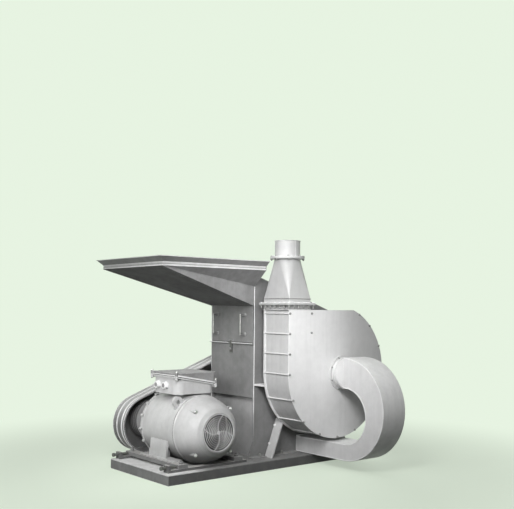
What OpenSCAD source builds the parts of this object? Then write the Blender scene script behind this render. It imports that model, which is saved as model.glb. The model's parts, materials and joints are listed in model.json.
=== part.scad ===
// Belt-driven hammer mill with feed hopper, suction elbow, fan and electric motor on one base.
// Frame: origin at the centre of the base's underside, +X along the base away from the hopper,
// +Y towards the belt guard, +Z up. Sizes in millimetres.

/* [Base] */
// Length of the base frame
base_len = 1800; // [1700:10:2000]
// Width of the base frame
base_w = 742; // [720:2:800]
// Height of the base frame with its deck plate
base_h = 67; // [50:1:100]
// Thickness of the deck plate
deck_t = 5; // [3:0.5:8]
// Wall thickness of the channels
channel_t = 6; // [4:0.5:8]
// Flange width of the channels
channel_flange = 38; // [30:1:50]
// Distance between anchor holes along the base
anchor_pitch = 1500; // [1200:10:1600]
// Radius of the anchor holes
anchor_r = 9; // [5:0.5:12]

/* [Mill housing] */
// Distance from the base's left end to the housing's front face
mill_setback = 835; // [815:5:860]
// Length of the housing along the base
mill_len = 855; // [840:5:900]
// Width of the housing over its side plates
mill_w = 512; // [480:2:540]
// Sideways shift of the housing's middle towards the belt side
mill_shift = 45; // [30:1:55]
// Thickness of the side plates
plate_t = 8; // [6:0.5:12]
// Thickness of the sheet panels
sheet_t = 4; // [2:0.5:5]
// Height of the roof's front edge
roof_front_z = 1386; // [1370:1:1400]
// Height of the roof's back edge
roof_back_z = 1098; // [1060:1:1150]
// Height of the seam between the inspection cover and the rotor panel
seam_z = 892; // [880:1:910]
// Height at which the hopper floor meets the front face
throat_z = 1166; // [1150:1:1180]
// Height of the rotor panel's lower edge
toe_z = 498; // [460:1:540]
// Depth by which the toe panel is set back
toe_inset = 30; // [10:1:50]
// Width of the foot flanges
foot_w = 50; // [40:1:55]
// Height of the flared front toes of the side plates
flare_h = 126; // [80:1:160]
// Reach of the flared front toes
flare_w = 50; // [30:1:70]

/* [Rotor] */
// Distance from the housing's front face to the rotor shaft
rotor_setback = 529; // [520:1:540]
// Height of the rotor shaft
shaft_z = 680; // [675:1:690]
// Radius of the rotor shaft
shaft_r = 37.5; // [30:0.5:40]
// Radius of the rotor discs
disc_r = 200; // [190:1:215]
// Thickness of the rotor discs
disc_t = 12; // [8:1:16]
// Number of rotor discs
disc_n = 5; // [4:1:6]
// Radius of the circle of hammer pins
pin_circle_r = 170; // [165:1:175]
// Radius of the hammer pins
pin_r = 12.5; // [10:0.5:14]
// Reach of a hammer from its pin to its tip
hammer_reach = 115; // [105:1:117]
// Width of a hammer
hammer_w = 50; // [40:1:56]
// Thickness of a hammer
hammer_t = 8; // [5:0.5:10]
// Gap between hammer tips and screen
tip_gap = 15; // [12:0.5:20]

/* [Hopper] */
// Length of the hopper tray over its rim
hopper_len = 908; // [860:2:920]
// Width of the hopper tray over its rim
hopper_w = 848; // [800:2:880]
// Height of the hopper rim
rim_z = 1481; // [1470:1:1500]
// Height and inset of the flared rim
flare = 38; // [25:1:45]
// Height of the upright band under the rim
band_h = 25; // [18:1:32]
// Height of the side walls' fold at the housing
fold_z = 1305; // [1280:1:1330]

/* [Fan] */
// Clear space between the mill and the fan, for the near bearing
bearing_gap = 97; // [95:1:120]
// Width of the fan casing over its plates
fan_w = 271; // [260:1:290]
// Radius of the round part of the casing plates
fan_r = 478; // [474:1:486]
// Offset of the casing's middle from the shaft, towards the outlet
fan_offset = 44; // [40:1:48]
// Height of the casing's middle above the shaft
fan_rise = 10; // [5:1:15]
// Height of the casing's flat top
fan_top_z = 1139; // [1125:1:1150]
// Thickness of the casing plates
fan_plate_t = 6; // [4:0.5:8]
// Depth of the scroll band behind the plates' edge
rim_inset = 14; // [13:0.5:18]
// Radius of the impeller
impeller_r = 370; // [350:1:380]
// Number of impeller blades
blade_n = 8; // [6:1:10]
// Width of the outlet along the base
outlet_w = 200; // [190:1:205]
// Radius of the inlet collar
inlet_r = 115; // [105:1:118]
// Length of the inlet collar
inlet_len = 43; // [40:1:70]
// Width of the fan legs
leg_w = 77; // [60:1:80]
// Radius of the tie rods
rod_r = 5; // [3:0.5:6]

/* [Outlet] */
// Height of the square neck
neck_h = 41; // [30:1:50]
// Width of the square flanges beyond the neck
flange_w = 25; // [20:1:30]
// Thickness of the flanges
flange_t = 8; // [5:1:10]
// Height of the transition's upright skirt
skirt_h = 27; // [20:1:40]
// Height of the transition's taper
taper_h = 283; // [250:1:320]
// Outside radius of the outlet pipe
pipe_r = 90; // [85:0.5:95]
// Wall thickness of the outlet duct
duct_t = 3; // [2:0.5:4]
// Length of the pipe above its flange
pipe_len = 113; // [90:1:160]
// Radius of the ring flange
ring_r = 122; // [118:1:126]

/* [Suction elbow] */
// Width of the elbow along the base
elbow_w = 220; // [200:2:236]
// Radius of the outer bend
bend_r = 364.5; // [362:0.5:368]
// Height of the lower duct
low_duct_h = 118; // [100:1:122]
// Height of the upper duct
top_duct_h = 216; // [206:1:222]
// Distance from the elbow's bend to its end at the inlet collar
elbow_run = 94; // [90:1:120]
// Length of the elbow's square-to-round mouth
mouth_len = 80; // [60:1:88]
// Straight lip at both ends of the mouth
mouth_lip = 2; // [1:0.5:4]

/* [Motor] */
// Distance from the base's left end to the motor shaft
motor_setback = 387; // [380:1:395]
// Height of the motor shaft above the foot bars' underside
motor_h = 225; // [224:0.5:228]
// Radius of the motor frame
motor_r = 232; // [220:1:233]
// Place of the motor frame's fan end along the shaft
motor_seam_y = -185; // [-195:1:-175]
// Length of the motor frame
motor_frame_len = 405; // [380:1:410]
// Length of the fan cowl
cowl_len = 202; // [185:1:215]
// Radius of the grille opening
grille_r = 126; // [115:1:132]
// Number of grille rings
ring_n = 8; // [5:1:9]
// Half distance between the foot bars' outer edges
foot_half = 270; // [265:1:275]
// Height of the foot bars
foot_bar_h = 27; // [20:1:30]
// Radius of the motor shaft
motor_shaft_r = 30; // [25:0.5:32]
// Height of the slide rails
rail_h = 18; // [15:1:25]
// Width of the slide rails
rail_w = 56; // [50:1:60]
// Place of the near slide rail
rail_near_y = -285; // [-300:1:-275]
// Place of the far slide rail
rail_far_y = 335; // [325:1:340]
// Travel of the motor each way on its rails
motor_travel = 25; // [10:1:28]
// Length of the tension screws beyond their lugs
screw_out = 63; // [60:1:80]

/* [Belt drive] */
// Outside radius of the motor pulley
motor_pulley_r = 150; // [140:1:160]
// Outside radius of the mill pulley
mill_pulley_r = 80; // [76:1:90]
// Number of belts
belt_n = 4; // [3:1:4]
// Distance between belts
belt_pitch = 25.5; // [25:0.1:27]
// Top width of a belt
belt_w = 22; // [20:0.5:22.5]
// Height of a belt
belt_h = 14; // [12:0.5:15]
// Place of the belts' middle plane along the shafts
belt_y = 468; // [460:1:476]
// Half width of the belt guard
guard_half = 203; // [195:1:212]
// Depth of the belt guard
guard_depth = 160; // [150:1:170]
// Reach of the guard's round end beyond the motor shaft
guard_reach = 70; // [60:1:75]

/* [Hidden] */
$fn = 48;

// Running clearance between a shaft and what it turns in
run_gap = 0.05;
// Clearance between pieces that are assembled on one body
seat_gap = 0.03;
// Clearance between pieces that move past each other
move_gap = 0.3;
// Overlap used only to make cuts run past a face
cut = 1;

// Base
base_x0 = -base_len / 2;
base_x1 = base_len / 2;
half_w = base_w / 2;
channel_h = base_h - deck_t;
anchor_y = half_w - channel_flange * 0.6;

// Mill housing
mill_x0 = base_x0 + mill_setback;
mill_x1 = mill_x0 + mill_len;
mill_near = mill_shift - mill_w / 2;
mill_far = mill_shift + mill_w / 2;
in_near = mill_near + plate_t;
in_far = mill_far - plate_t;
roof_slope = (roof_front_z - roof_back_z) / mill_len;
rotor_x = mill_x0 + rotor_setback;
hole_r = shaft_r * 1.6;

// Fan
fan_back = mill_near - bearing_gap;
fan_front = fan_back - fan_w;
fan_mid_y = (fan_back + fan_front) / 2;
fan_x = rotor_x - fan_offset;
fan_z = shaft_z + fan_rise;
fan_x0 = fan_x - fan_r;
band_r = fan_r - rim_inset;
band_x0 = fan_x0 + rim_inset;
tongue_x = fan_x0 + outlet_w;
close_r = fan_x + band_r - rotor_x;
tongue_a = 180 - acos((rotor_x - tongue_x) / close_r);
tongue_z = shaft_z + close_r * sin(tongue_a);
rod_circle_r = fan_r - rim_inset / 2;

// Outlet
neck_x0 = fan_x0;
neck_mid_x = neck_x0 + outlet_w / 2;
flange_z = fan_top_z + neck_h;
taper_z0 = flange_z + flange_t + skirt_h;
taper_z1 = taper_z0 + taper_h;
ring_z = taper_z1 + flange_t;
pipe_top_z = ring_z + flange_t + pipe_len;

// Suction elbow
elbow_x0 = rotor_x - elbow_w / 2;
elbow_x1 = rotor_x + elbow_w / 2;
elbow_end_y = fan_front - inlet_len;
elbow_bot_z = base_h + 5;
bend_z = elbow_bot_z + bend_r;
bend_y = elbow_end_y - elbow_run;
mouth_y = elbow_end_y - mouth_len;
elbow_top_z = bend_z + bend_r;
throat_low_z = elbow_bot_z + low_duct_h;
throat_top_z = elbow_top_z - top_duct_h;
throat_r = (throat_top_z - throat_low_z) / 2;
throat_mid_z = (throat_top_z + throat_low_z) / 2;

// Motor
motor_x = base_x0 + motor_setback;
motor_z = base_h + rail_h + motor_h;
motor_drive_y = motor_seam_y + motor_frame_len;
foot_z = base_h + rail_h + move_gap;
foot_top_z = foot_z + foot_bar_h;
foot_bar_w = 75;
bearing_r = 60;
bearing_w = 30;
frame_wall = 65;
shield_len = bearing_w + 12;
shield_y1 = motor_drive_y + shield_len;
cowl_y0 = motor_seam_y - cowl_len;
cowl_lip = 12;
cowl_end_r = grille_r + cowl_lip;
seam_w = 9;
lug_x = motor_x - foot_half - motor_travel - 35;
box_shift = 20;
box_x = motor_x - box_shift;
box_half_x = 162;
box_half_y = 156;
box_bot_z = 553;
box_top_z = 698;
split_mid_z = 648;
split_fall = 0.186;
lug_r = 10;
lug_h = 48;

// Rotor
screen_r = pin_circle_r + hammer_reach + tip_gap;
screen_t = 3;
rotor_len = in_far - in_near - 46;
disc_gap = (rotor_len - disc_n * disc_t) / (disc_n - 1);
rotor_y0 = mill_shift - rotor_len / 2;
pin_angles = [45, 135, 225, 315];

// Belt drive
belt_dx = rotor_x - motor_x;
belt_dz = shaft_z - motor_z;
belt_c = norm([belt_dx, belt_dz]);
belt_a = atan2(belt_dz, belt_dx);
pulley_w = belt_n * belt_pitch + 8;
wedge_a = acos((motor_pulley_r - mill_pulley_r) / belt_c);
run_len = sqrt(pow(belt_c, 2) - pow(motor_pulley_r - mill_pulley_r, 2));
guard_lip = 8;
guard_y0 = belt_y - guard_depth / 2;

// Extrude an x-z outline between two places along Y.
module slab_y(y0, y1) {
    translate([0, y1, 0]) rotate([90, 0, 0]) linear_extrude(y1 - y0) children();
}

// Extrude a y-z outline between two places along X.
module slab_x(x0, x1) {
    translate([x0, 0, 0]) rotate([90, 0, 90]) linear_extrude(x1 - x0) children();
}

// Round bar along Y.
module rod_y(x, z, r, y0, y1) {
    translate([x, y0, z]) rotate([-90, 0, 0]) cylinder(r = r, h = y1 - y0);
}

// Round bar along X.
module rod_x(y, z, r, x0, x1) {
    translate([x0, y, z]) rotate([0, 90, 0]) cylinder(r = r, h = x1 - x0);
}

// Box between two corners.
module block(a, b) {
    translate(a) cube(b - a);
}

// Turned piece on a shaft along Y: the outline holds radius and place along Y.
module turned_y(x, z) {
    translate([x, 0, z]) rotate([-90, 0, 0]) rotate_extrude() children();
}

// Corner points of a rectangle with round corners.
function round_rect(w, d, r, n = 8) = [
    for (k = [0:3], i = [0:n])
        let (a = 90 * k + 90 * i / n, sx = (k == 0 || k == 3) ? 1 : -1, sy = k < 2 ? 1 : -1)
            [sx * (w / 2 - r) + r * cos(a), sy * (d / 2 - r) + r * sin(a)]
];

// Hexagon nut on a stud that stands on a face, pointing up.
module stud_nut(h, r) {
    cylinder(r = r * 1.8, h = h, $fn = 6);
    cylinder(r = r, h = h * 1.9);
}

// Base frame

module channel_section() {
    difference() {
        square([channel_flange, channel_h]);
        translate([channel_t, channel_t])
            square([channel_flange, channel_h - 2 * channel_t]);
    }
}

module side_channels() {
    for (s = [-1, 1]) mirror([0, s > 0 ? 1 : 0, 0]) {
        difference() {
            slab_x(base_x0, base_x1) translate([-half_w, 0]) channel_section();
            for (e = [-1, 1]) {
                block([e > 0 ? base_x1 - channel_flange : base_x0 - cut, channel_t - half_w, -cut],
                    [e > 0 ? base_x1 + cut : base_x0 + channel_flange, cut, channel_h + cut]);
                translate([e * anchor_pitch / 2, -anchor_y, -cut])
                    cylinder(r = anchor_r, h = channel_t + 2 * cut);
            }
        }
    }
}

module cross_channels() {
    end_half = half_w - channel_t;
    mid_half = half_w - channel_flange;
    for (e = [0, 1]) mirror([e, 0, 0])
        slab_y(-end_half, end_half) translate([base_x0, 0]) channel_section();
    for (x = [base_x0 / 2, -channel_flange / 2, base_x1 / 2])
        slab_y(-mid_half, mid_half) translate([x, 0]) channel_section();
}

module base_channels() {
    color("dimgray") {
        side_channels();
        cross_channels();
    }
}

module base_deck() {
    color("gray") block([base_x0, -half_w, channel_h], [base_x1, half_w, base_h]);
}

// Motor and its slide rails

module motor_rails() {
    color("dimgray") for (y = [rail_near_y, rail_far_y]) {
        difference() {
            union() {
                block([lug_x - 20, y - rail_w / 2, base_h],
                    [motor_x + foot_half + motor_travel + 10, y + rail_w / 2, base_h + rail_h]);
                block([lug_x - 20, y - rail_w / 2, base_h],
                    [lug_x, y + rail_w / 2, foot_top_z + 3]);
            }
            rod_x(y, foot_z + foot_bar_h / 2, 10 + move_gap, lug_x - 20 - cut, lug_x + cut);
        }
    }
}

module tension_screws() {
    tip_x = lug_x - screw_out;
    color("dimgray") for (y = [rail_near_y, rail_far_y]) {
        rod_x(y, foot_z + foot_bar_h / 2, 10, tip_x, motor_x - foot_half);
        translate([tip_x, y, foot_z + foot_bar_h / 2]) rotate([0, 90, 0])
            cylinder(r = 13.5, h = 16, $fn = 6);
    }
}

module motor_foot_bars() {
    mid = foot_half - foot_bar_w / 2;
    color("silver") for (s = [-1, 1]) {
        block([motor_x + s * mid - foot_bar_w / 2, rail_near_y - rail_w / 2, foot_z],
            [motor_x + s * mid + foot_bar_w / 2, rail_far_y + rail_w / 2, foot_top_z]);
        for (y = [rail_near_y, rail_far_y])
            translate([motor_x + s * mid, y, foot_top_z]) stud_nut(14, 9);
    }
}

module motor_frame() {
    web_half = 103;
    web_out = foot_half - 32;
    web_top = motor_z - 70;
    web_t = 12;
    web_lean = 16;
    pad_t = 9;
    pad_near_y = motor_seam_y - 30;
    pad_far_y = motor_drive_y - 25;
    color("silver") difference() {
        union() {
            rod_y(motor_x, motor_z, motor_r, motor_seam_y, motor_drive_y - 14);
            rod_y(motor_x, motor_z, motor_r + 5, motor_drive_y - 14, motor_drive_y);
            for (s = [-1, 1]) translate([motor_x, 0, 0]) mirror([s > 0 ? 0 : 1, 0, 0]) {
                slab_y(-web_half, web_half) polygon([[web_out, foot_top_z], [web_out - web_lean, web_top],
                    [web_out - web_lean - 18, web_top], [web_out - web_t, foot_top_z]]);
                for (y = [-70, 60])
                    block([web_out - 60, y, foot_top_z], [web_out - web_lean - 6, y + web_t, web_top - 4]);
                block([web_out - 60, pad_near_y, foot_top_z],
                    [web_out + web_t, pad_far_y, foot_top_z + pad_t]);
            }
            translate([motor_x - 70, -70, motor_z]) cube([140, 140, box_bot_z - motor_z]);
        }
        rod_y(motor_x, motor_z, motor_shaft_r + 2, motor_seam_y - cut, motor_drive_y + cut);
        difference() {
            rod_y(motor_x, motor_z, motor_r + cut, motor_seam_y - cut, motor_seam_y + seam_w);
            rod_y(motor_x, motor_z, motor_r - 8, motor_seam_y - 2 * cut, motor_seam_y + seam_w + cut);
        }
        rod_y(motor_x, motor_z, bearing_r, motor_seam_y - cut, motor_seam_y + bearing_w);
        rod_y(motor_x, motor_z, motor_r - frame_wall, motor_seam_y + bearing_w + 10, motor_drive_y + cut);
    }
}

module drive_end_shield() {
    color("silver") difference() {
        turned_y(motor_x, motor_z) polygon([
            [motor_shaft_r + 5, motor_drive_y], [motor_r - 2, motor_drive_y],
            [motor_r - 10, motor_drive_y + 14], [110, motor_drive_y + 26],
            [100, shield_y1], [motor_shaft_r + 5, shield_y1]
        ]);
        rod_y(motor_x, motor_z, bearing_r, motor_drive_y - cut, motor_drive_y + bearing_w);
    }
}

// Radius of the domed cowl at a share of its length from the frame.
function cowl_radius(f) = cowl_end_r + (motor_r - cowl_end_r) * pow(1 - pow(f, 1.7), 0.62);

module motor_cowl() {
    n = 14;
    steps = [for (i = [0:n]) i / n];
    outer = [for (f = steps) [cowl_radius(f), motor_seam_y - f * cowl_len]];
    inner = [for (i = [n:-1:1]) [cowl_radius(steps[i]) - 5, motor_seam_y - steps[i] * cowl_len]];
    seat = [[motor_r - 5, motor_seam_y - 8], [motor_r - 20, motor_seam_y - 8], [motor_r - 20, motor_seam_y]];
    rim = [[motor_r + 5, motor_seam_y], [motor_r + 5, motor_seam_y - 9]];
    lip = [[cowl_end_r, cowl_y0], [cowl_end_r - 2, cowl_y0 - 6], [grille_r, cowl_y0 - 6],
        [grille_r, cowl_y0 + 4]];
    boss_r = 13;
    boss_y = motor_seam_y - 0.72 * cowl_len;
    boss_out = cowl_radius(0.72) + boss_r - 1;
    dome = [for (i = [1:n]) outer[i]];
    color("silver") {
        turned_y(motor_x, motor_z) polygon(concat(rim, dome, lip, inner, seat));
        for (a = [45:90:315]) translate([motor_x, 0, motor_z]) rotate([0, -a, 0])
            rod_y(boss_out, 0, boss_r, boss_y, motor_seam_y - 0.3 * cowl_len);
    }
}

// Flat ring of wire width about the origin.
module wire_ring(r, w) {
    difference() {
        circle(r = r + w / 2);
        circle(r = r - w / 2);
    }
}

// Rings and four bowed spokes of the fan grille.
module motor_grille() {
    wire = 3;
    rim = 5;
    ring_step = (grille_r - rim) / (ring_n + 1);
    bow_r = grille_r * 0.8;
    color("silver") translate([motor_x, 0, motor_z]) slab_y(cowl_y0 - 5, cowl_y0 - 1) {
        wire_ring(grille_r - move_gap - rim / 2, rim);
        for (i = [1:ring_n]) wire_ring(i * ring_step, wire);
        circle(r = ring_step);
        for (a = [20:90:290]) rotate(a) intersection() {
            translate([0, -bow_r]) wire_ring(bow_r, wire + 1);
            translate([0, -grille_r]) square([grille_r, 2 * grille_r]);
            circle(r = grille_r - rim);
        }
    }
}

// Height of the slanted joint between terminal box and lid.
function split_z(x) = split_mid_z - split_fall * (x - box_x);

// Region under or over the slanted joint.
module split_side(low) {
    reach = 2 * box_half_x;
    edge = [for (x = [box_x + reach, box_x - reach]) [x, split_z(x)]];
    far_z = low ? box_bot_z - 100 : box_top_z + 100;
    slab_y(-2 * box_half_y, 2 * box_half_y)
        polygon(concat(edge, [[box_x - reach, far_z], [box_x + reach, far_z]]));
}

// Screw lugs at the four corners, half on the box and half on the lid.
module corner_lugs() {
    for (sx = [-1, 1], sy = [-1, 1]) {
        x = box_x + sx * (box_half_x + 3);
        translate([x, sy * (box_half_y - 2), split_z(x) - lug_h / 2]) {
            cylinder(r = lug_r, h = lug_h);
            rotate([0, 0, atan2(-sy, -sx)]) translate([0, 3 - lug_r, 2])
                cube([45, 2 * lug_r - 6, lug_h - 4]);
        }
    }
}

module terminal_box() {
    color("silver") intersection() {
        union() {
            translate([box_x, 0, box_bot_z]) linear_extrude(box_top_z - box_bot_z)
                polygon(round_rect(2 * box_half_x, 2 * box_half_y, 60));
            corner_lugs();
        }
        split_side(true);
    }
}

module terminal_lid() {
    rim = 9;
    color("silver") intersection() {
        union() {
            translate([box_x, 0, box_bot_z]) linear_extrude(box_top_z - box_bot_z)
                polygon(round_rect(2 * (box_half_x + rim), 2 * (box_half_y + rim), 40));
            corner_lugs();
        }
        split_side(false);
    }
}

module cable_glands() {
    z = 610;
    color("white") for (y = [-25, 70]) {
        translate([box_x - box_half_x - 11, y, z]) rotate([0, 90, 0]) cylinder(r = 27, h = 11, $fn = 6);
        rod_x(y, z, 23, box_x - box_half_x - 26, box_x - box_half_x - 11);
    }
}

module lifting_eye() {
    eye_r = motor_r + 28;
    out = 36;
    color("silver") translate([motor_x, 0, motor_z]) rotate([0, -41, 0]) difference() {
        slab_y(motor_seam_y + 30, motor_seam_y + 56) difference() {
            union() {
                translate([0, eye_r]) circle(r = out);
                translate([-out, eye_r - 12]) square([2 * out, 12]);
                polygon([[-52, motor_r - 12], [52, motor_r - 12], [out, eye_r - 10], [-out, eye_r - 10]]);
            }
            translate([0, eye_r]) circle(r = 15);
            translate([-15, eye_r - 10]) square([30, 10]);
            translate([0, eye_r - 10]) circle(r = 15);
        }
        rod_y(0, 0, motor_r + seat_gap, motor_seam_y, 0);
    }
}

module motor_bearings() {
    w = bearing_w - 2 * move_gap;
    color("silver") for (y = [motor_seam_y + move_gap, motor_drive_y + move_gap]) difference() {
        rod_y(motor_x, motor_z, bearing_r - seat_gap, y, y + w);
        rod_y(motor_x, motor_z, motor_shaft_r + run_gap, y - cut, y + w + cut);
    }
}

// Shaft with the motor's rotor core.
module motor_shaft() {
    color("lightgray") {
        rod_y(motor_x, motor_z, motor_shaft_r, cowl_y0 + 50, belt_y + pulley_w / 2);
        rod_y(motor_x, motor_z, motor_r / 2, motor_seam_y + 90, motor_drive_y - 70);
    }
}

cooling_r = 120;
cooling_w = 70;

module cooling_fan() {
    y0 = cowl_y0 + 50;
    y1 = y0 + cooling_w;
    color("gray") difference() {
        union() {
            rod_y(motor_x, motor_z, 48, y0, y1);
            rod_y(motor_x, motor_z, cooling_r, y1 - 6, y1);
            for (i = [0:7]) translate([motor_x, 0, motor_z]) rotate([0, 45 * i, 0])
                block([40, y0, -2.5], [cooling_r, y1 - 3, 2.5]);
        }
        rod_y(motor_x, motor_z, motor_shaft_r + seat_gap, y0 - cut, y1 + cut);
    }
}

// Half outline of a V pulley: radius outwards, place along the shaft upwards.
module pulley_outline(r, bore_r) {
    depth = belt_h + 3;
    top_half = belt_w / 2 + move_gap;
    slant = tan(18);
    w = pulley_w / 2;
    difference() {
        translate([bore_r, -w]) square([r - bore_r, pulley_w]);
        for (i = [0:belt_n - 1]) {
            y = (i - (belt_n - 1) / 2) * belt_pitch;
            polygon([[r + cut, y - top_half - cut * slant], [r + cut, y + top_half + cut * slant],
                [r - depth, y + top_half - depth * slant], [r - depth, y - top_half + depth * slant]]);
        }
    }
}

module motor_pulley() {
    web_r = motor_pulley_r - 34;
    color("gray") difference() {
        translate([0, belt_y, 0]) turned_y(motor_x, motor_z)
            pulley_outline(motor_pulley_r, motor_shaft_r + seat_gap);
        for (s = [-1, 1]) translate([0, belt_y + s * (pulley_w / 2 + cut / 2), 0])
            difference() {
                rod_y(motor_x, motor_z, web_r, -pulley_w / 2 + 30, pulley_w / 2 - 30);
                rod_y(motor_x, motor_z, 62, -pulley_w, pulley_w);
            }
    }
}

// Cross section of one belt: height along x from its top down, width along y.
module belt_section() {
    bottom_half = belt_w / 2 - belt_h * tan(18);
    polygon([[0, -belt_w / 2], [0, belt_w / 2], [-belt_h, bottom_half], [-belt_h, -bottom_half]]);
}

// Loop round the two pulleys, drawn from the motor shaft's middle in the x-y plane.
module belt_loop() {
    up = belt_a + wedge_a;
    down = belt_a - wedge_a;
    mid = [belt_dx, belt_dz, 0];
    rotate([0, 0, up]) rotate_extrude(angle = 360 - 2 * wedge_a)
        translate([motor_pulley_r, 0]) belt_section();
    rotate([0, 0, up]) translate([motor_pulley_r, 0, 0]) rotate([90, 0, 0])
        linear_extrude(run_len) belt_section();
    translate(mid) rotate([0, 0, down]) rotate_extrude(angle = 2 * wedge_a)
        translate([mill_pulley_r, 0]) belt_section();
    translate(mid) rotate([0, 0, down]) translate([mill_pulley_r, 0, 0]) rotate([90, 0, 0])
        linear_extrude(run_len) belt_section();
}

module drive_belts() {
    color("dimgray") for (i = [0:belt_n - 1])
        translate([motor_x, belt_y + (i - (belt_n - 1) / 2) * belt_pitch, motor_z])
            rotate([90, 0, 0]) belt_loop();
}

// Half outline of the guard's dish: radius outwards, depth upwards from its open edge.
module guard_outline() {
    lip = guard_lip;
    w = sheet_t;
    polygon([[guard_half - w, 0], [guard_half + lip, 0], [guard_half + lip, w], [guard_half, w],
        [guard_half, guard_depth - 12], [guard_half + lip / 2, guard_depth - 12],
        [guard_half + lip / 2, guard_depth], [0, guard_depth], [0, guard_depth - w],
        [guard_half - w, guard_depth - w]]);
}

module belt_guard() {
    span = belt_c + guard_reach + 30;
    color("silver") translate([motor_x, guard_y0, motor_z]) rotate([0, -belt_a, 0])
        translate([-guard_reach, 0, 0]) rotate([-90, 0, 0]) {
            rotate([0, 0, 90]) rotate_extrude(angle = 180) guard_outline();
            translate([span, 0, 0]) rotate([0, 0, -90]) rotate_extrude(angle = 180) guard_outline();
            for (m = [0, 1]) mirror([0, m, 0]) translate([span, 0, 0]) rotate([90, 0, -90])
                linear_extrude(span) guard_outline();
        }
}

module guard_stays() {
    low_x = motor_x - guard_reach * cos(belt_a);
    low_z = motor_z - guard_reach * sin(belt_a) - guard_half - guard_lip;
    color("gray") {
        slab_x(low_x - 20, low_x + 20) polygon([[half_w, base_h - 50], [half_w + 6, base_h - 50],
            [half_w + 6, low_z - 8], [guard_y0 + 60, low_z - 8], [guard_y0 + 60, low_z],
            [half_w, low_z]]);
        translate([motor_x, 0, motor_z]) rotate([0, -belt_a, 0]) for (x = [0.594, 0.804] * belt_c)
            block([x - 20, mill_far, -guard_half - guard_lip - 8],
                [x + 20, guard_y0 + 40, -guard_half - guard_lip]);
    }
}

// Mill housing

module side_outline() {
    polygon([[mill_x0, base_h + flare_h], [mill_x0, roof_front_z], [mill_x1, roof_back_z],
        [mill_x1, base_h], [mill_x0 - flare_w, base_h]]);
}

module mill_near_plate() {
    color("gray") difference() {
        union() {
            slab_y(mill_near, in_near) side_outline();
            block([mill_x0 - flare_w, mill_near - foot_w, base_h], [mill_x1, mill_near, base_h + plate_t]);
        }
        rod_y(rotor_x, shaft_z, hole_r, mill_near - cut, in_near + cut);
        block([elbow_x0 - move_gap, mill_near - foot_w - cut, base_h - cut],
            [elbow_x1 + move_gap, mill_near, base_h + 2 * plate_t]);
        block([fan_x - leg_foot - 20, mill_near - foot_w - cut, base_h - cut],
            [fan_x - leg_foot + 30, mill_near, base_h + 2 * plate_t]);
        block([fan_x + leg_foot - 6, mill_near - foot_w - cut, base_h - cut],
            [fan_x + leg_foot + 20, mill_near, base_h + 2 * plate_t]);
        block([elbow_x0 + duct_t, mill_near - cut, elbow_bot_z + duct_t],
            [elbow_x1 - duct_t, in_near + cut, throat_low_z - duct_t]);
    }
}

module mill_far_plate() {
    color("gray") difference() {
        union() {
            slab_y(in_far, mill_far) side_outline();
            block([mill_x0 - flare_w, mill_far, base_h], [mill_x1, mill_far + foot_w, base_h + plate_t]);
        }
        rod_y(rotor_x, shaft_z, hole_r, in_far - cut, mill_far + cut);
    }
}

module mill_roof() {
    t = sheet_t;
    color("gray") slab_y(mill_near, mill_far)
        polygon([[mill_x0, roof_front_z], [mill_x0, roof_front_z + t],
            [mill_x1 + t, roof_back_z + t - roof_slope * t], [mill_x1 + t, roof_back_z - 30],
            [mill_x1, roof_back_z - 30], [mill_x1, roof_back_z]]);
}

module mill_back_panel() {
    color("gray") block([mill_x1 - sheet_t, in_near, base_h], [mill_x1, in_far, roof_back_z]);
}

module rotor_panel() {
    fold = 16;
    staple_z = seam_z - staple_drop;
    notch = hasp_w / 2 + 7;
    color("gray") {
        block([mill_x0 - sheet_t, mill_near, toe_z], [mill_x0, mill_far, seam_z]);
        block([mill_x0 - sheet_t - fold, mill_near, seam_z - sheet_t],
            [mill_x0, hasp_y - notch, seam_z]);
        block([mill_x0 - sheet_t - fold, hasp_y + notch, seam_z - sheet_t],
            [mill_x0, mill_far, seam_z]);
        block([mill_x0 - sheet_t - 18, hasp_y - 4, staple_z - 8],
            [mill_x0 - sheet_t, hasp_y + 4, staple_z + 8]);
    }
}

module toe_panel() {
    color("dimgray") block([mill_x0 + toe_inset, in_near, base_h],
        [mill_x0 + toe_inset + sheet_t, in_far, toe_z + 40]);
}

// Inspection cover, lifted off towards the motor
cover_inset = 14;
cover_z0 = seam_z + move_gap;
cover_z1 = throat_z - 2;
handle_out = 50;
handle_y = [mill_shift - 159, mill_shift + 170];
hasp_y = mill_shift + 5;
hasp_w = 30;
staple_drop = 45;
pivot_r = 6;
pivot_pin_r = 3;
pivot_x = mill_x0 - sheet_t - pivot_r;
pivot_z = cover_z0 + 12;

module inspection_cover() {
    color("gray") {
        block([mill_x0 - sheet_t, mill_near + cover_inset, cover_z0],
            [mill_x0 - move_gap, mill_far - cover_inset, cover_z1]);
        for (s = [-1, 1]) difference() {
            translate([pivot_x - pivot_r, hasp_y + s * (hasp_w / 2 + 5), pivot_z - pivot_r])
                translate([0, -4, 0])
                    cube([mill_x0 - sheet_t - pivot_x + pivot_r, 8, 2 * pivot_r]);
            rod_y(pivot_x, pivot_z, pivot_pin_r + run_gap, hasp_y - hasp_w, hasp_y + hasp_w);
        }
    }
}

handle_rise = 70;
handle_bar = 6;

module cover_handles() {
    z_mid = (cover_z0 + cover_z1) / 2;
    rise = handle_rise;
    bar = handle_bar;
    x0 = mill_x0 - sheet_t;
    color("silver") for (y = handle_y) {
        for (s = [-1, 1]) {
            rod_x(y, z_mid + s * rise, bar, x0 - handle_out, x0);
            rod_x(y, z_mid + s * rise, bar * 2, x0 - 5, x0);
        }
        translate([x0 - handle_out, y, z_mid - rise - bar]) cylinder(r = bar, h = 2 * (rise + bar));
    }
}

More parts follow.
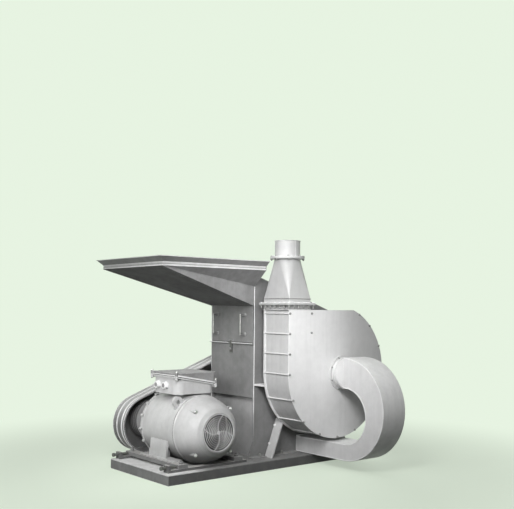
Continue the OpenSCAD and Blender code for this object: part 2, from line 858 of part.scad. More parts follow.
module cover_hasp() {
    slot_z = seam_z - staple_drop;
    strap_t = 5;
    x0 = pivot_x - strap_t / 2;
    color("dimgray") {
        difference() {
            block([x0, hasp_y - hasp_w / 2, slot_z - 29], [x0 + strap_t, hasp_y + hasp_w / 2, pivot_z]);
            block([x0 - cut, hasp_y - 8, slot_z - 14], [x0 + strap_t + cut, hasp_y + 8, slot_z + 14]);
        }
        rod_y(pivot_x, pivot_z, pivot_r - 1, hasp_y - hasp_w / 2, hasp_y + hasp_w / 2);
        rod_y(pivot_x, pivot_z, pivot_pin_r, hasp_y - hasp_w / 2 - 9, hasp_y + hasp_w / 2 + 9);
    }
}

module chute_floor() {
    end_a = 168;
    end_x = rotor_x + (screen_r + 2) * cos(end_a);
    end_z = shaft_z + (screen_r + 2) * sin(end_a);
    color("gray") slab_y(in_near, in_far) polygon([[mill_x0, seam_z], [mill_x0, seam_z - sheet_t],
        [end_x, end_z - sheet_t], [end_x, end_z]]);
}

// Ring sector about the rotor shaft.
module rotor_sector(r0, r1, a0, a1, y0, y1) {
    translate([rotor_x, y1, shaft_z]) rotate([90, 0, 0]) rotate([0, 0, a0])
        rotate_extrude(angle = a1 - a0) translate([r0, 0]) square([r1 - r0, y1 - y0]);
}

module breaker_plate() {
    color("dimgray") rotor_sector(screen_r, screen_r + plate_t, 0, 100, in_near, in_far);
}

module screen() {
    color("silver") rotor_sector(screen_r, screen_r + screen_t, 190, 350, in_near, in_far);
}

module screen_rails() {
    rail_r = screen_r + screen_t + seat_gap;
    color("dimgray") for (y = [in_near, in_far - 10])
        rotor_sector(rail_r, rail_r + 22, 190, 350, y, y + 10);
}

module collector_plates() {
    top_x = mill_x1 - sheet_t - rotor_x - move_gap;
    top_z = shaft_z - 130;
    color("gray") for (s = [-1, 1]) translate([rotor_x, 0, 0]) mirror([s > 0 ? 0 : 1, 0, 0])
        slab_y(in_near, in_far) polygon([[elbow_w / 2 - duct_t, base_h],
            [elbow_w / 2 - duct_t + sheet_t, base_h], [top_x, top_z], [top_x - sheet_t, top_z]]);
}

module mill_foot_nuts() {
    room = fan_x + leg_foot - elbow_x1;
    xs = [fan_x - leg_foot - 64, mill_x0 + 250, elbow_x1 + 0.42 * room, elbow_x1 + 0.82 * room];
    color("dimgray") for (x = xs, y = [mill_near - foot_w / 2, mill_far + foot_w / 2])
        translate([x, y, base_h + plate_t]) stud_nut(12, 8);
}

// Hopper
hop_x1 = mill_x0 - sheet_t;
hop_x0 = hop_x1 - hopper_len;
hop_near = mill_shift - hopper_w / 2;
hop_far = mill_shift + hopper_w / 2;
pan_z = rim_z - flare - band_h;

// Block drawn in on three sides by in0 at its foot and in1 at its top, run past the housing end by over.
module flared_block(in0, in1, z0, z1, over) {
    x1 = hop_x1 + over;
    polyhedron(
        [[hop_x0 + in0, hop_near + in0, z0], [x1, hop_near + in0, z0],
         [x1, hop_far - in0, z0], [hop_x0 + in0, hop_far - in0, z0],
         [hop_x0 + in1, hop_near + in1, z1], [x1, hop_near + in1, z1],
         [x1, hop_far - in1, z1], [hop_x0 + in1, hop_far - in1, z1]],
        [[0, 1, 2, 3], [7, 6, 5, 4], [0, 4, 5, 1], [1, 5, 6, 2], [2, 6, 7, 3], [3, 7, 4, 0]]
    );
}

module hopper_rim() {
    t = sheet_t;
    color("dimgray") {
        difference() {
            flared_block(flare, 0, rim_z - flare, rim_z, 0);
            flared_block(flare + 2 * t, 0, rim_z - flare - t, rim_z + t, cut);
        }
        difference() {
            block([hop_x0 + flare, hop_near + flare, pan_z], [hop_x1, hop_far - flare, rim_z - flare]);
            block([hop_x0 + flare + t, hop_near + flare + t, pan_z - cut],
                [hop_x1 + cut, hop_far - flare - t, rim_z - flare + cut]);
        }
    }
}

// Solid funnel under the hopper's band, drawn in by t and run past its open ends by over.
module funnel(t, over) {
    x0 = hop_x0 + flare + t;
    x1 = hop_x1 + over;
    y0 = hop_near + flare + t;
    y1 = hop_far - flare - t;
    c0 = mill_near + t;
    c1 = mill_far - t;
    polyhedron(
        [[x0, y0, pan_z + t], [x0, y1, pan_z + t], [x1, c0, throat_z + t], [x1, c1, throat_z + t],
         [x1, c0, fold_z + t], [x1, c1, fold_z + t], [x1, y0, pan_z + t], [x1, y1, pan_z + t]],
        [[0, 2, 3], [0, 3, 1], [0, 4, 2], [0, 6, 4], [1, 3, 5], [1, 5, 7], [0, 1, 7], [0, 7, 6],
         [6, 7, 5], [6, 5, 4], [4, 5, 3], [4, 3, 2]]
    );
}

module hopper_pan() {
    color("dimgray") difference() {
        funnel(0, 0);
        funnel(sheet_t, cut);
    }
}

module hopper_back_plate() {
    y0 = hop_near + flare;
    y1 = hop_far - flare;
    color("gray") slab_x(hop_x1, mill_x0) polygon([[hop_near, rim_z], [hop_far, rim_z],
        [y1, rim_z - flare], [y1, pan_z], [mill_far, fold_z], [mill_far, roof_front_z],
        [mill_near, roof_front_z], [mill_near, fold_z], [y0, pan_z], [y0, rim_z - flare]]);
}

// Bearings
shelf_t = 12;
shelf_half = 190;
block_h = 80;
shelf_z = shaft_z - block_h;
block_len = 68;
housing_r = block_h - 2;
insert_r = shaft_r + 24.5;
near_block_y = mill_near - bearing_gap / 2;
far_block_y = (mill_far + guard_y0) / 2;

module bearing_shelves() {
    color("silver") {
        block([mill_x0 + 4, fan_back, shelf_z - shelf_t], [mill_x1, mill_near, shelf_z]);
        block([rotor_x - shelf_half, mill_far, shelf_z - shelf_t],
            [rotor_x + shelf_half, guard_y0 - 2, shelf_z]);
        for (x = [rotor_x - shelf_half + 40, rotor_x + shelf_half - 52]) slab_x(x, x + 12)
            polygon([[mill_far, shelf_z - shelf_t], [mill_far, shelf_z - 100],
                [guard_y0 - 6, shelf_z - shelf_t]]);
    }
}

block_half = 135;

module pillow_blocks() {
    color("dimgray") for (y = [near_block_y, far_block_y]) {
        slab_y(y - block_len / 2, y + block_len / 2) difference() {
            union() {
                translate([rotor_x - block_half, shelf_z]) square([2 * block_half, 28]);
                translate([rotor_x - housing_r, shelf_z]) square([2 * housing_r, block_h]);
                translate([rotor_x, shaft_z]) circle(r = housing_r);
            }
            translate([rotor_x, shaft_z]) circle(r = insert_r);
        }
        for (s = [-1, 1]) translate([rotor_x + s * 110, y, shelf_z + 28]) stud_nut(14, 9);
    }
    color("silver") for (y = [near_block_y, far_block_y]) difference() {
        rod_y(rotor_x, shaft_z, insert_r - seat_gap, y - 30, y + 30);
        rod_y(rotor_x, shaft_z, shaft_r + run_gap, y - 30 - cut, y + 30 + cut);
    }
}

// Fan

module fan_outline() {
    intersection() {
        union() {
            translate([fan_x, fan_z]) circle(r = fan_r);
            translate([fan_x0, fan_z]) square([fan_r, fan_top_z - fan_z]);
        }
        translate([fan_x0 - cut, fan_z - fan_r - cut])
            square([2 * fan_r + 2 * cut, fan_top_z - fan_z + fan_r + cut]);
    }
}

module fan_back_plate() {
    color("silver") difference() {
        slab_y(fan_back - fan_plate_t, fan_back) fan_outline();
        rod_y(rotor_x, shaft_z, shaft_r + 5, fan_back - fan_plate_t - cut, fan_back + cut);
    }
}

module fan_front_plate() {
    color("silver") difference() {
        slab_y(fan_front, fan_front + fan_plate_t) fan_outline();
        rod_y(rotor_x, shaft_z, inlet_r + seat_gap, fan_front - cut, fan_front + fan_plate_t + cut);
    }
}

module fan_scroll() {
    y0 = fan_front + fan_plate_t;
    y1 = fan_back - fan_plate_t;
    t = sheet_t;
    w = y1 - y0;
    color("silver") {
        block([band_x0, y0, fan_z], [band_x0 + t, y1, fan_top_z]);
        translate([fan_x, y1, fan_z]) rotate([90, 0, 0]) rotate([0, 0, 180])
            rotate_extrude(angle = 180) translate([band_r - t, 0]) square([t, w]);
        block([fan_x + band_r - t, y0, shaft_z], [fan_x + band_r, y1, fan_z]);
        rotor_sector(close_r - t, close_r, 0, tongue_a, y0, y1);
        block([tongue_x, y0, tongue_z - t], [tongue_x + t, y1, fan_top_z]);
    }
}

// Places of the tie rods: up the outlet's side, round the casing and beside the tongue.
rod_step = (fan_top_z - 26 - fan_z) / 3;
top_rod_a = asin(min(1, (fan_top_z - 33 - fan_z) / rod_circle_r));
rod_places = concat(
    [for (i = [0:3]) [fan_x0 + rim_inset / 2, fan_z + i * rod_step]],
    [for (a = [202.5:22.5:405]) [fan_x + rod_circle_r * cos(a), fan_z + rod_circle_r * sin(a)]],
    [[fan_x + rod_circle_r * cos(top_rod_a), fan_z + rod_circle_r * sin(top_rod_a)]],
    [for (z = [fan_top_z - 25, tongue_z + 28]) [tongue_x + sheet_t + rod_r + 3, z]]
);

module fan_tie_rods() {
    color("silver") for (p = rod_places) {
        rod_y(p[0], p[1], rod_r, fan_front + fan_plate_t, fan_back - fan_plate_t);
        translate([p[0], fan_front, p[1]]) rotate([90, 0, 0]) {
            cylinder(r = 1.3 * rod_r, h = 5, $fn = 6);
            cylinder(r = rod_r * 0.7, h = 8);
        }
    }
}

// Legs lean inwards to the casing's back plate.
leg_foot = 0.797 * fan_r;
leg_top = 0.6025 * fan_r;
leg_top_z = fan_z - 0.8075 * fan_r;

module fan_legs() {
    t = 12;
    color("silver") for (s = [-1, 1]) translate([fan_x, 0, 0]) mirror([s > 0 ? 0 : 1, 0, 0])
        slab_y(fan_back, fan_back + leg_w) polygon([[leg_foot, base_h], [leg_foot + t, base_h],
            [leg_top + t - 40, leg_top_z + 100], [leg_top - 40, leg_top_z + 100]]);
}

// Hull between the elbow's square end and the round collar, shrunk by t.
module mouth_hull(t, front, back) {
    hull() {
        block([elbow_x0 + t, mouth_y - front, throat_top_z + t],
            [elbow_x1 - t, mouth_y + mouth_lip, elbow_top_z - t]);
        rod_y(rotor_x, shaft_z, inlet_r - t, elbow_end_y - mouth_lip, elbow_end_y + back);
    }
}

module inlet_collar() {
    y0 = elbow_end_y;
    color("silver") {
        difference() {
            union() {
                rod_y(rotor_x, shaft_z, inlet_r, y0, fan_front + fan_plate_t);
                rod_y(rotor_x, shaft_z, inlet_r + 6, y0, y0 + 5);
                rod_y(rotor_x, shaft_z, inlet_r + 14, fan_front - 10, fan_front - 2);
            }
            rod_y(rotor_x, shaft_z, inlet_r - duct_t - 1, y0 - cut, fan_front + fan_plate_t + cut);
        }
        difference() {
            mouth_hull(0, 0, mouth_lip);
            mouth_hull(duct_t, cut, mouth_lip + cut);
        }
    }
}

// Rectangular tube standing on the outlet.
module outlet_tube(z0, z1, grow) {
    t = duct_t;
    difference() {
        block([neck_x0 - grow, fan_front - grow, z0], [neck_x0 + outlet_w + grow, fan_back + grow, z1]);
        block([neck_x0 + t, fan_front + t, z0 - cut],
            [neck_x0 + outlet_w - t, fan_back - t, z1 + cut]);
    }
}

module outlet_neck() {
    color("silver") {
        outlet_tube(fan_top_z, flange_z, 0);
        outlet_tube(flange_z - flange_t, flange_z, flange_w);
    }
}

// Hull between the square outlet and the round pipe, shrunk by t.
module square_to_round(t, over) {
    hull() {
        block([neck_x0 + t, fan_front + t, taper_z0 - over],
            [neck_x0 + outlet_w - t, fan_back - t, taper_z0 - over + 0.01]);
        translate([neck_mid_x, fan_mid_y, taper_z1 + over - 0.01]) cylinder(r = pipe_r - t, h = 0.01);
    }
}

module outlet_transition() {
    color("silver") {
        outlet_tube(flange_z, flange_z + flange_t, flange_w);
        outlet_tube(flange_z, taper_z0, 0);
        difference() {
            square_to_round(0, 0);
            square_to_round(duct_t, 0.02);
        }
        translate([neck_mid_x, fan_mid_y, taper_z1]) difference() {
            cylinder(r = ring_r, h = flange_t);
            translate([0, 0, -cut]) cylinder(r = pipe_r - duct_t, h = flange_t + 2 * cut);
        }
    }
}

module outlet_pipe() {
    bolt_circle = (ring_r + pipe_r) / 2;
    color("silver") {
        translate([neck_mid_x, fan_mid_y, ring_z]) difference() {
            union() {
                cylinder(r = ring_r, h = flange_t);
                cylinder(r = pipe_r, h = flange_t + pipe_len);
            }
            translate([0, 0, -cut]) cylinder(r = pipe_r - duct_t, h = flange_t + pipe_len + 2 * cut);
        }
        for (a = [22.5:45:360]) translate([neck_mid_x, fan_mid_y, ring_z + flange_t])
            rotate([0, 0, a]) translate([bolt_circle, 0, 0]) cylinder(r = 8, h = 6, $fn = 6);
    }
}

// Suction elbow

// Outline of the bent duct in the y-z plane, shrunk by t.
module elbow_outline(t) {
    r = bend_r - t;
    ri = throat_r + t;
    difference() {
        union() {
            intersection() {
                translate([bend_y, bend_z]) circle(r = r, $fn = 96);
                translate([bend_y - 2 * bend_r, bend_z - bend_r]) square([2 * bend_r, 2 * bend_r]);
            }
            translate([bend_y, elbow_bot_z + t]) square([mill_near - bend_y, low_duct_h - 2 * t]);
            translate([bend_y, throat_top_z + t]) square([mouth_y - bend_y, top_duct_h - 2 * t]);
        }
        translate([bend_y, throat_mid_z]) circle(r = ri, $fn = 96);
    }
}

module elbow_cheeks() {
    color("silver") for (x = [elbow_x0, elbow_x1 - duct_t]) slab_x(x, x + duct_t) elbow_outline(0);
}

module elbow_bands() {
    x0 = elbow_x0 + duct_t;
    x1 = elbow_x1 - duct_t;
    color("silver") {
        slab_x(x0, x1) difference() {
            elbow_outline(0);
            elbow_outline(duct_t);
            translate([mill_near - duct_t - cut, elbow_bot_z + duct_t])
                square([3 * duct_t, low_duct_h - 2 * duct_t]);
            translate([mouth_y - 2 * duct_t, throat_top_z + duct_t])
                square([4 * duct_t, top_duct_h - 2 * duct_t]);
        }
    }
}

// Rotor

module rotor_shaft() {
    color("lightgray") rod_y(rotor_x, shaft_z, shaft_r, fan_front + 24, belt_y + pulley_w / 2);
}

function disc_y(i) = rotor_y0 + i * (disc_t + disc_gap);
function pin_x(k) = rotor_x + pin_circle_r * cos(pin_angles[k]);
function pin_z(k) = shaft_z + pin_circle_r * sin(pin_angles[k]);

module rotor_discs() {
    color("gray") difference() {
        union() {
            for (i = [0:disc_n - 1]) rod_y(rotor_x, shaft_z, disc_r, disc_y(i), disc_y(i) + disc_t);
            rod_y(rotor_x, shaft_z, shaft_r + 9, disc_y(0), disc_y(disc_n - 1) + disc_t);
        }
        rod_y(rotor_x, shaft_z, shaft_r + seat_gap, disc_y(0) - cut, disc_y(disc_n) + cut);
        for (k = [0:3]) rod_y(pin_x(k), pin_z(k), pin_r + seat_gap, disc_y(0) - cut, disc_y(disc_n) + cut);
    }
}

// Places of the hammers along a pin: two in each space between discs.
hammer_gap = disc_gap / 3;
hammer_ys = [for (i = [0:disc_n - 2], j = [1, 2])
    disc_y(i) + disc_t + j * hammer_gap - hammer_t / 2];

module hammer_pins() {
    spacer_len = hammer_gap - hammer_t - 2 * move_gap;
    color("silver") for (k = [0:3]) {
        rod_y(pin_x(k), pin_z(k), pin_r, disc_y(0) - 8, disc_y(disc_n - 1) + disc_t + 8);
        for (y = [disc_y(0) - 8, disc_y(disc_n - 1) + disc_t + seat_gap])
            rod_y(pin_x(k), pin_z(k), pin_r + 6, y, y + 8 - seat_gap);
        for (i = [0:disc_n - 2]) {
            y = disc_y(i) + disc_t + hammer_gap + hammer_t / 2 + move_gap;
            rod_y(pin_x(k), pin_z(k), pin_r + 6, y, y + spacer_len);
        }
    }
}

// Hammers of one pin, hanging straight down.
module hammer_row(k) {
    head = 25;
    color("silver") for (y = hammer_ys) difference() {
        block([pin_x(k) - hammer_w / 2, y, pin_z(k) - hammer_reach],
            [pin_x(k) + hammer_w / 2, y + hammer_t, pin_z(k) + head]);
        rod_y(pin_x(k), pin_z(k), pin_r + move_gap, y - cut, y + hammer_t + cut);
    }
}

module hammers_1() {
    hammer_row(0);
}

module hammers_2() {
    hammer_row(1);
}

module hammers_3() {
    hammer_row(2);
}

module hammers_4() {
    hammer_row(3);
}

module fan_impeller() {
    y1 = fan_back - fan_plate_t - 18;
    y0 = fan_front + 28;
    color("gray") difference() {
        union() {
            rod_y(rotor_x, shaft_z, impeller_r, y1 - 6, y1);
            rod_y(rotor_x, shaft_z, shaft_r + 22, y0 + 60, y1);
            for (i = [0:blade_n - 1]) translate([rotor_x, 0, shaft_z]) rotate([0, 360 / blade_n * i, 0])
                translate([0, 0, -2.5]) linear_extrude(5) polygon([[shaft_r + 15, y1 - 3],
                    [impeller_r, y1 - 3], [impeller_r, y0 + 50], [inlet_r + 15, y0],
                    [shaft_r + 15, y0 + 70]]);
        }
        rod_y(rotor_x, shaft_z, shaft_r + seat_gap, y0 - cut, y1 + cut);
    }
}

module mill_pulley() {
    color("gray") translate([0, belt_y, 0]) turned_y(rotor_x, shaft_z)
        pulley_outline(mill_pulley_r, shaft_r + seat_gap);
}

base_channels();
base_deck();
motor_rails();
tension_screws();
motor_foot_bars();
motor_frame();
drive_end_shield();
motor_cowl();
motor_grille();
terminal_box();
terminal_lid();
cable_glands();
lifting_eye();
motor_bearings();
motor_shaft();
cooling_fan();
motor_pulley();
drive_belts();
belt_guard();
guard_stays();
mill_near_plate();
mill_far_plate();
mill_roof();
mill_back_panel();
rotor_panel();
toe_panel();
inspection_cover();
cover_handles();
cover_hasp();
chute_floor();
breaker_plate();
screen();
screen_rails();
collector_plates();
mill_foot_nuts();
hopper_rim();
hopper_pan();
hopper_back_plate();
bearing_shelves();
pillow_blocks();
fan_back_plate();
fan_front_plate();
fan_scroll();
fan_tie_rods();
fan_legs();
inlet_collar();
outlet_neck();
outlet_transition();
outlet_pipe();
elbow_cheeks();
elbow_bands();
rotor_shaft();
rotor_discs();
hammer_pins();
hammers_1();
hammers_2();
hammers_3();
hammers_4();
fan_impeller();
mill_pulley();
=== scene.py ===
"""Looks of the hammer mill: finishes, bolts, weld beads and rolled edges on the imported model."""

import json
import math

import bpy
import numpy as np
from mathutils import Matrix, Vector


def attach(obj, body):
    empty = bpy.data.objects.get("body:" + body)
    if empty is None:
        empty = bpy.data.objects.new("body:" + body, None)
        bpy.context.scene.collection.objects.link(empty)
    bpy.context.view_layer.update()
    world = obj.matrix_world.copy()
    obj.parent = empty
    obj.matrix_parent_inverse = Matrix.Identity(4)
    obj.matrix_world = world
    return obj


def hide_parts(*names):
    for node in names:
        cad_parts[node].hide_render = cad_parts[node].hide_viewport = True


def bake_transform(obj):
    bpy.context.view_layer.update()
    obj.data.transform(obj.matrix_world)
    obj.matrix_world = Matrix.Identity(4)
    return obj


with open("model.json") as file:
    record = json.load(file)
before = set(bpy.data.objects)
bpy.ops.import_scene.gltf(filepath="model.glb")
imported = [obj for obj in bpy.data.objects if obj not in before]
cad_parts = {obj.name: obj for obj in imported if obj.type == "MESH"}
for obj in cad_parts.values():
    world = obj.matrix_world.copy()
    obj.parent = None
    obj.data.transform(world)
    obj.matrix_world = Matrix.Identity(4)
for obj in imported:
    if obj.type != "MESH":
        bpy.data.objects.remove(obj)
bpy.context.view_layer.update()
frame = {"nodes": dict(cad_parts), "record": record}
nodes = frame["nodes"]
slot_of = {s["node"]: s["material_slot"] for s in frame["record"]["subparts"]}
X, Y, Z = np.eye(3)

# Camera: turned 39.6 degrees from the base's cross direction
IMAGE_W, IMAGE_H = 514.0, 509.0
FOCAL_PX = 797.7
AXIS_ROW = 308.9
SENSOR_MM = 36.0
CAMERA_AT = (-3.729, -4.668, 1.143)
CAMERA_YAW = -39.6
CAMERA_ROLL = 0.5


def set_camera():
    """Pinhole camera: lens = focal pixels / image width x sensor, shift = axis offset / image width."""
    data = bpy.data.cameras.new("photo_camera")
    data.sensor_fit = "HORIZONTAL"
    data.sensor_width = SENSOR_MM
    data.lens = FOCAL_PX / IMAGE_W * SENSOR_MM
    data.shift_y = (AXIS_ROW - IMAGE_H / 2) / IMAGE_W
    data.clip_end = 100.0
    cam = bpy.data.objects.new("photo_camera", data)
    turn = Matrix.Rotation(math.radians(CAMERA_YAW), 4, "Z") @ Matrix.Rotation(math.radians(90), 4, "X")
    roll = Matrix.Rotation(math.radians(CAMERA_ROLL), 4, "Z")
    cam.matrix_world = Matrix.Translation(CAMERA_AT) @ turn @ roll
    bpy.context.scene.collection.objects.link(cam)
    bpy.context.scene.camera = cam


set_camera()

# Finishes: shared shader groups
SOOT = (0.02, 0.02, 0.02)
RUN_GREY = (0.09, 0.088, 0.085)
DUST_GREY = (0.62, 0.61, 0.59)
SCRATCH_GREY = (0.08, 0.08, 0.08)
STAIN_BROWN = (0.10, 0.085, 0.07)
RUBBED_STEEL = (0.66, 0.66, 0.66)
# Near-black of the screen's holes: painted shade
HOLE_SHADE = (0.01, 0.01, 0.01)
PAINT_EDGE, STEEL_EDGE = 0.004, 0.0025
PAINT_BUMP_MM, STEEL_BUMP_MM = 0.35, 0.25
BUMP_STRENGTH = 0.5
FINISH_OUT = [
    ("Colour", "NodeSocketColor"),
    ("Roughness", "NodeSocketFloat"),
    ("Height", "NodeSocketFloat"),
]


def new_group(name, inputs, outputs):
    """Empty shader node group with the named sockets."""
    tree = bpy.data.node_groups.new(name, "ShaderNodeTree")
    for label, kind, value in inputs:
        socket = tree.interface.new_socket(label, in_out="INPUT", socket_type=kind)
        socket.default_value = value
    for label, kind in outputs:
        tree.interface.new_socket(label, in_out="OUTPUT", socket_type=kind)
    return tree, tree.nodes.new("NodeGroupInput"), tree.nodes.new("NodeGroupOutput")


def noise(tree, coords, scale, detail=4.0, rough=0.55):
    """Noise value on the given coordinates."""
    n = tree.nodes.new("ShaderNodeTexNoise")
    n.inputs["Scale"].default_value = scale
    n.inputs["Detail"].default_value = detail
    n.inputs["Roughness"].default_value = rough
    tree.links.new(coords, n.inputs["Vector"])
    return n.outputs["Fac"]


def stretched(tree, coords, scale):
    """Coordinates scaled apart along X, Y and Z."""
    n = tree.nodes.new("ShaderNodeMapping")
    n.inputs["Scale"].default_value = scale
    tree.links.new(coords, n.inputs["Vector"])
    return n.outputs[0]


def ramp(tree, value, low, high):
    """Value eased from 0 at low to 1 at high."""
    n = tree.nodes.new("ShaderNodeMapRange")
    n.interpolation_type = "SMOOTHSTEP"
    n.inputs["From Min"].default_value = low
    n.inputs["From Max"].default_value = high
    tree.links.new(value, n.inputs["Value"])
    return n.outputs["Result"]


def maths(tree, operation, a, b):
    """One arithmetic step; a and b are sockets or numbers."""
    n = tree.nodes.new("ShaderNodeMath")
    n.operation = operation
    for i, v in enumerate((a, b)):
        if isinstance(v, (int, float)):
            n.inputs[i].default_value = v
        else:
            tree.links.new(v, n.inputs[i])
    return n.outputs[0]


def vector_maths(tree, operation, a, b=None):
    """One vector step; a is a socket, b a socket, a vector or nothing."""
    n = tree.nodes.new("ShaderNodeVectorMath")
    n.operation = operation
    tree.links.new(a, n.inputs[0])
    if isinstance(b, tuple):
        n.inputs[1].default_value = b
    elif b is not None:
        tree.links.new(b, n.inputs[1])
    return n.outputs["Value" if operation in ("DOT_PRODUCT", "LENGTH") else "Vector"]


def blend_colour(tree, factor, a, b):
    """Colour between a and b by factor; each is a socket or a colour."""
    n = tree.nodes.new("ShaderNodeMix")
    n.data_type = "RGBA"
    for key, kind, v in (("Factor", "VALUE", factor), ("A", "RGBA", a), ("B", "RGBA", b)):
        socket = [s for s in n.inputs if s.name == key and s.type == kind][0]
        if isinstance(v, tuple):
            socket.default_value = (*v, 1.0)
        else:
            tree.links.new(v, socket)
    return [s for s in n.outputs if s.type == "RGBA"][0]


def edge_mask(tree, coords, radius):
    """1 close to an edge, broken up by noise.

    It follows how far the normal rounded over the radius leans from the face's own.
    """
    soft = tree.nodes.new("ShaderNodeBevel")
    soft.samples = 4
    soft.inputs["Radius"].default_value = radius
    geo = tree.nodes.new("ShaderNodeNewGeometry")
    same = vector_maths(tree, "DOT_PRODUCT", soft.outputs["Normal"], geo.outputs["Normal"])
    lean = ramp(tree, maths(tree, "SUBTRACT", 1.0, same), 0.03, 0.22)
    rubbed = ramp(tree, noise(tree, coords, 30.0, detail=5.0, rough=0.65), 0.25, 0.6)
    return maths(tree, "MULTIPLY", lean, rubbed)


def make_paint_group():
    """Machine paint: mottling, runs down the walls, dust on faces that look up, and paler edges for wear
    and for a painted highlight along every edge.
    """
    tree, gi, go = new_group(
        "machine_paint",
        [
            ("Coords", "NodeSocketVector", (0, 0, 0)),
            ("Paint", "NodeSocketColor", (0.5, 0.5, 0.5, 1)),
            ("Edge_wear_and_highlight", "NodeSocketColor", (0.7, 0.7, 0.7, 1)),
            ("Mottle", "NodeSocketFloat", 0.25),
            ("Dust", "NodeSocketFloat", 0.3),
            ("Wear", "NodeSocketFloat", 0.5),
            ("Gloss", "NodeSocketFloat", 0.45),
        ],
        FINISH_OUT,
    )
    co = gi.outputs["Coords"]
    slow = ramp(tree, noise(tree, co, 3.0), 0.3, 0.7)
    mid = ramp(tree, noise(tree, co, 17.0, detail=6.0, rough=0.65), 0.35, 0.65)
    fine = noise(tree, co, 320.0, detail=2.0)
    drawn_down = stretched(tree, co, (16.0, 16.0, 1.2))
    streak = ramp(tree, noise(tree, drawn_down, 1.6, detail=5.0, rough=0.6), 0.42, 0.75)
    tone = maths(tree, "ADD", maths(tree, "MULTIPLY", slow, 0.6), maths(tree, "MULTIPLY", mid, 0.4))
    tone = maths(tree, "MULTIPLY", tone, gi.outputs["Mottle"])
    dark = blend_colour(tree, tone, gi.outputs["Paint"], SOOT)
    runs = maths(tree, "MULTIPLY", streak, maths(tree, "MULTIPLY", gi.outputs["Mottle"], 0.5))
    dark = blend_colour(tree, runs, dark, RUN_GREY)
    geo = tree.nodes.new("ShaderNodeNewGeometry")
    split = tree.nodes.new("ShaderNodeSeparateXYZ")
    tree.links.new(geo.outputs["Normal"], split.inputs[0])
    up = ramp(tree, split.outputs["Z"], 0.55, 0.98)
    settled = ramp(tree, noise(tree, co, 6.0, detail=8.0, rough=0.7), 0.2, 0.7)
    dust = maths(tree, "MULTIPLY", maths(tree, "MULTIPLY", up, settled), gi.outputs["Dust"])
    colour = blend_colour(tree, dust, dark, DUST_GREY)
    # Paler edges: wear, and also a painted highlight; the mask takes inner creases as well as outer edges
    edge = maths(tree, "MULTIPLY", edge_mask(tree, co, PAINT_EDGE), gi.outputs["Wear"])
    colour = blend_colour(tree, edge, colour, gi.outputs["Edge_wear_and_highlight"])
    rough = maths(tree, "ADD", gi.outputs["Gloss"], maths(tree, "MULTIPLY", mid, 0.12))
    rough = maths(tree, "ADD", rough, maths(tree, "MULTIPLY", dust, 0.3))
    height = maths(tree, "ADD", fine, maths(tree, "MULTIPLY", mid, 1.2))
    tree.links.new(colour, go.inputs["Colour"])
    tree.links.new(rough, go.inputs["Roughness"])
    tree.links.new(height, go.inputs["Height"])
    return tree


def make_steel_group():
    """Bare steel and iron: drawn-out scratches, dull patches, a little brown stain, bright rubbed edges."""
    tree, gi, go = new_group(
        "bare_steel",
        [
            ("Coords", "NodeSocketVector", (0, 0, 0)),
            ("Steel", "NodeSocketColor", (0.5, 0.5, 0.5, 1)),
            ("Stain", "NodeSocketFloat", 0.2),
            ("Wear", "NodeSocketFloat", 0.4),
            ("Gloss", "NodeSocketFloat", 0.3),
        ],
        FINISH_OUT,
    )
    co = gi.outputs["Coords"]
    lines = noise(tree, stretched(tree, co, (240.0, 12.0, 240.0)), 1.0, detail=3.0)
    patch = ramp(tree, noise(tree, co, 22.0, detail=6.0, rough=0.65), 0.4, 0.7)
    scratch = maths(tree, "MULTIPLY", lines, 0.35)
    colour = blend_colour(tree, scratch, gi.outputs["Steel"], SCRATCH_GREY)
    stain = maths(tree, "MULTIPLY", patch, gi.outputs["Stain"])
    colour = blend_colour(tree, stain, colour, STAIN_BROWN)
    edge = maths(tree, "MULTIPLY", edge_mask(tree, co, STEEL_EDGE), gi.outputs["Wear"])
    colour = blend_colour(tree, edge, colour, RUBBED_STEEL)
    rough = maths(tree, "ADD", gi.outputs["Gloss"], maths(tree, "MULTIPLY", patch, 0.25))
    tree.links.new(colour, go.inputs["Colour"])
    tree.links.new(rough, go.inputs["Roughness"])
    tree.links.new(lines, go.inputs["Height"])
    return tree


PAINT_GROUP = make_paint_group()
STEEL_GROUP = make_steel_group()


def start_material(name, group, values, bump_mm):
    """Material with a Principled shader fed by one of the finish groups on Object coordinates."""
    mat = bpy.data.materials.new(name)
    mat.use_nodes = True
    tree = mat.node_tree
    shader = tree.nodes["Principled BSDF"]
    coords = tree.nodes.new("ShaderNodeTexCoord")
    coords.name = "coords"
    finish = tree.nodes.new("ShaderNodeGroup")
    finish.name = "finish"
    finish.node_tree = group
    tree.links.new(coords.outputs["Object"], finish.inputs["Coords"])
    for key, value in values.items():
        finish.inputs[key].default_value = (*value, 1.0) if isinstance(value, tuple) else value
    tree.links.new(finish.outputs["Colour"], shader.inputs["Base Color"])
    tree.links.new(finish.outputs["Roughness"], shader.inputs["Roughness"])
    bump = tree.nodes.new("ShaderNodeBump")
    bump.name = "bump"
    bump.inputs["Strength"].default_value = BUMP_STRENGTH
    bump.inputs["Distance"].default_value = bump_mm / 1000
    tree.links.new(finish.outputs["Height"], bump.inputs["Height"])
    tree.links.new(bump.outputs["Normal"], shader.inputs["Normal"])
    return mat


def place(mat):
    """Object coordinates of a material."""
    return mat.node_tree.nodes["coords"].outputs["Object"]


def grey(v):
    """Neutral grey as a colour."""
    return (v, v, v)


def painted(name, paint, edge_wear_and_highlight, mottle, dust, wear, gloss, shine):
    """Painted metal; the edge grey shows along rubbed edges and as a painted highlight along edges, shine
    is the strength of reflections.
    """
    greys = {"Paint": grey(paint), "Edge_wear_and_highlight": grey(edge_wear_and_highlight)}
    values = {**greys, "Mottle": mottle, "Dust": dust, "Wear": wear, "Gloss": gloss}
    mat = start_material(name, PAINT_GROUP, values, PAINT_BUMP_MM)
    mat.node_tree.nodes["Principled BSDF"].inputs["Specular IOR Level"].default_value = shine
    return mat


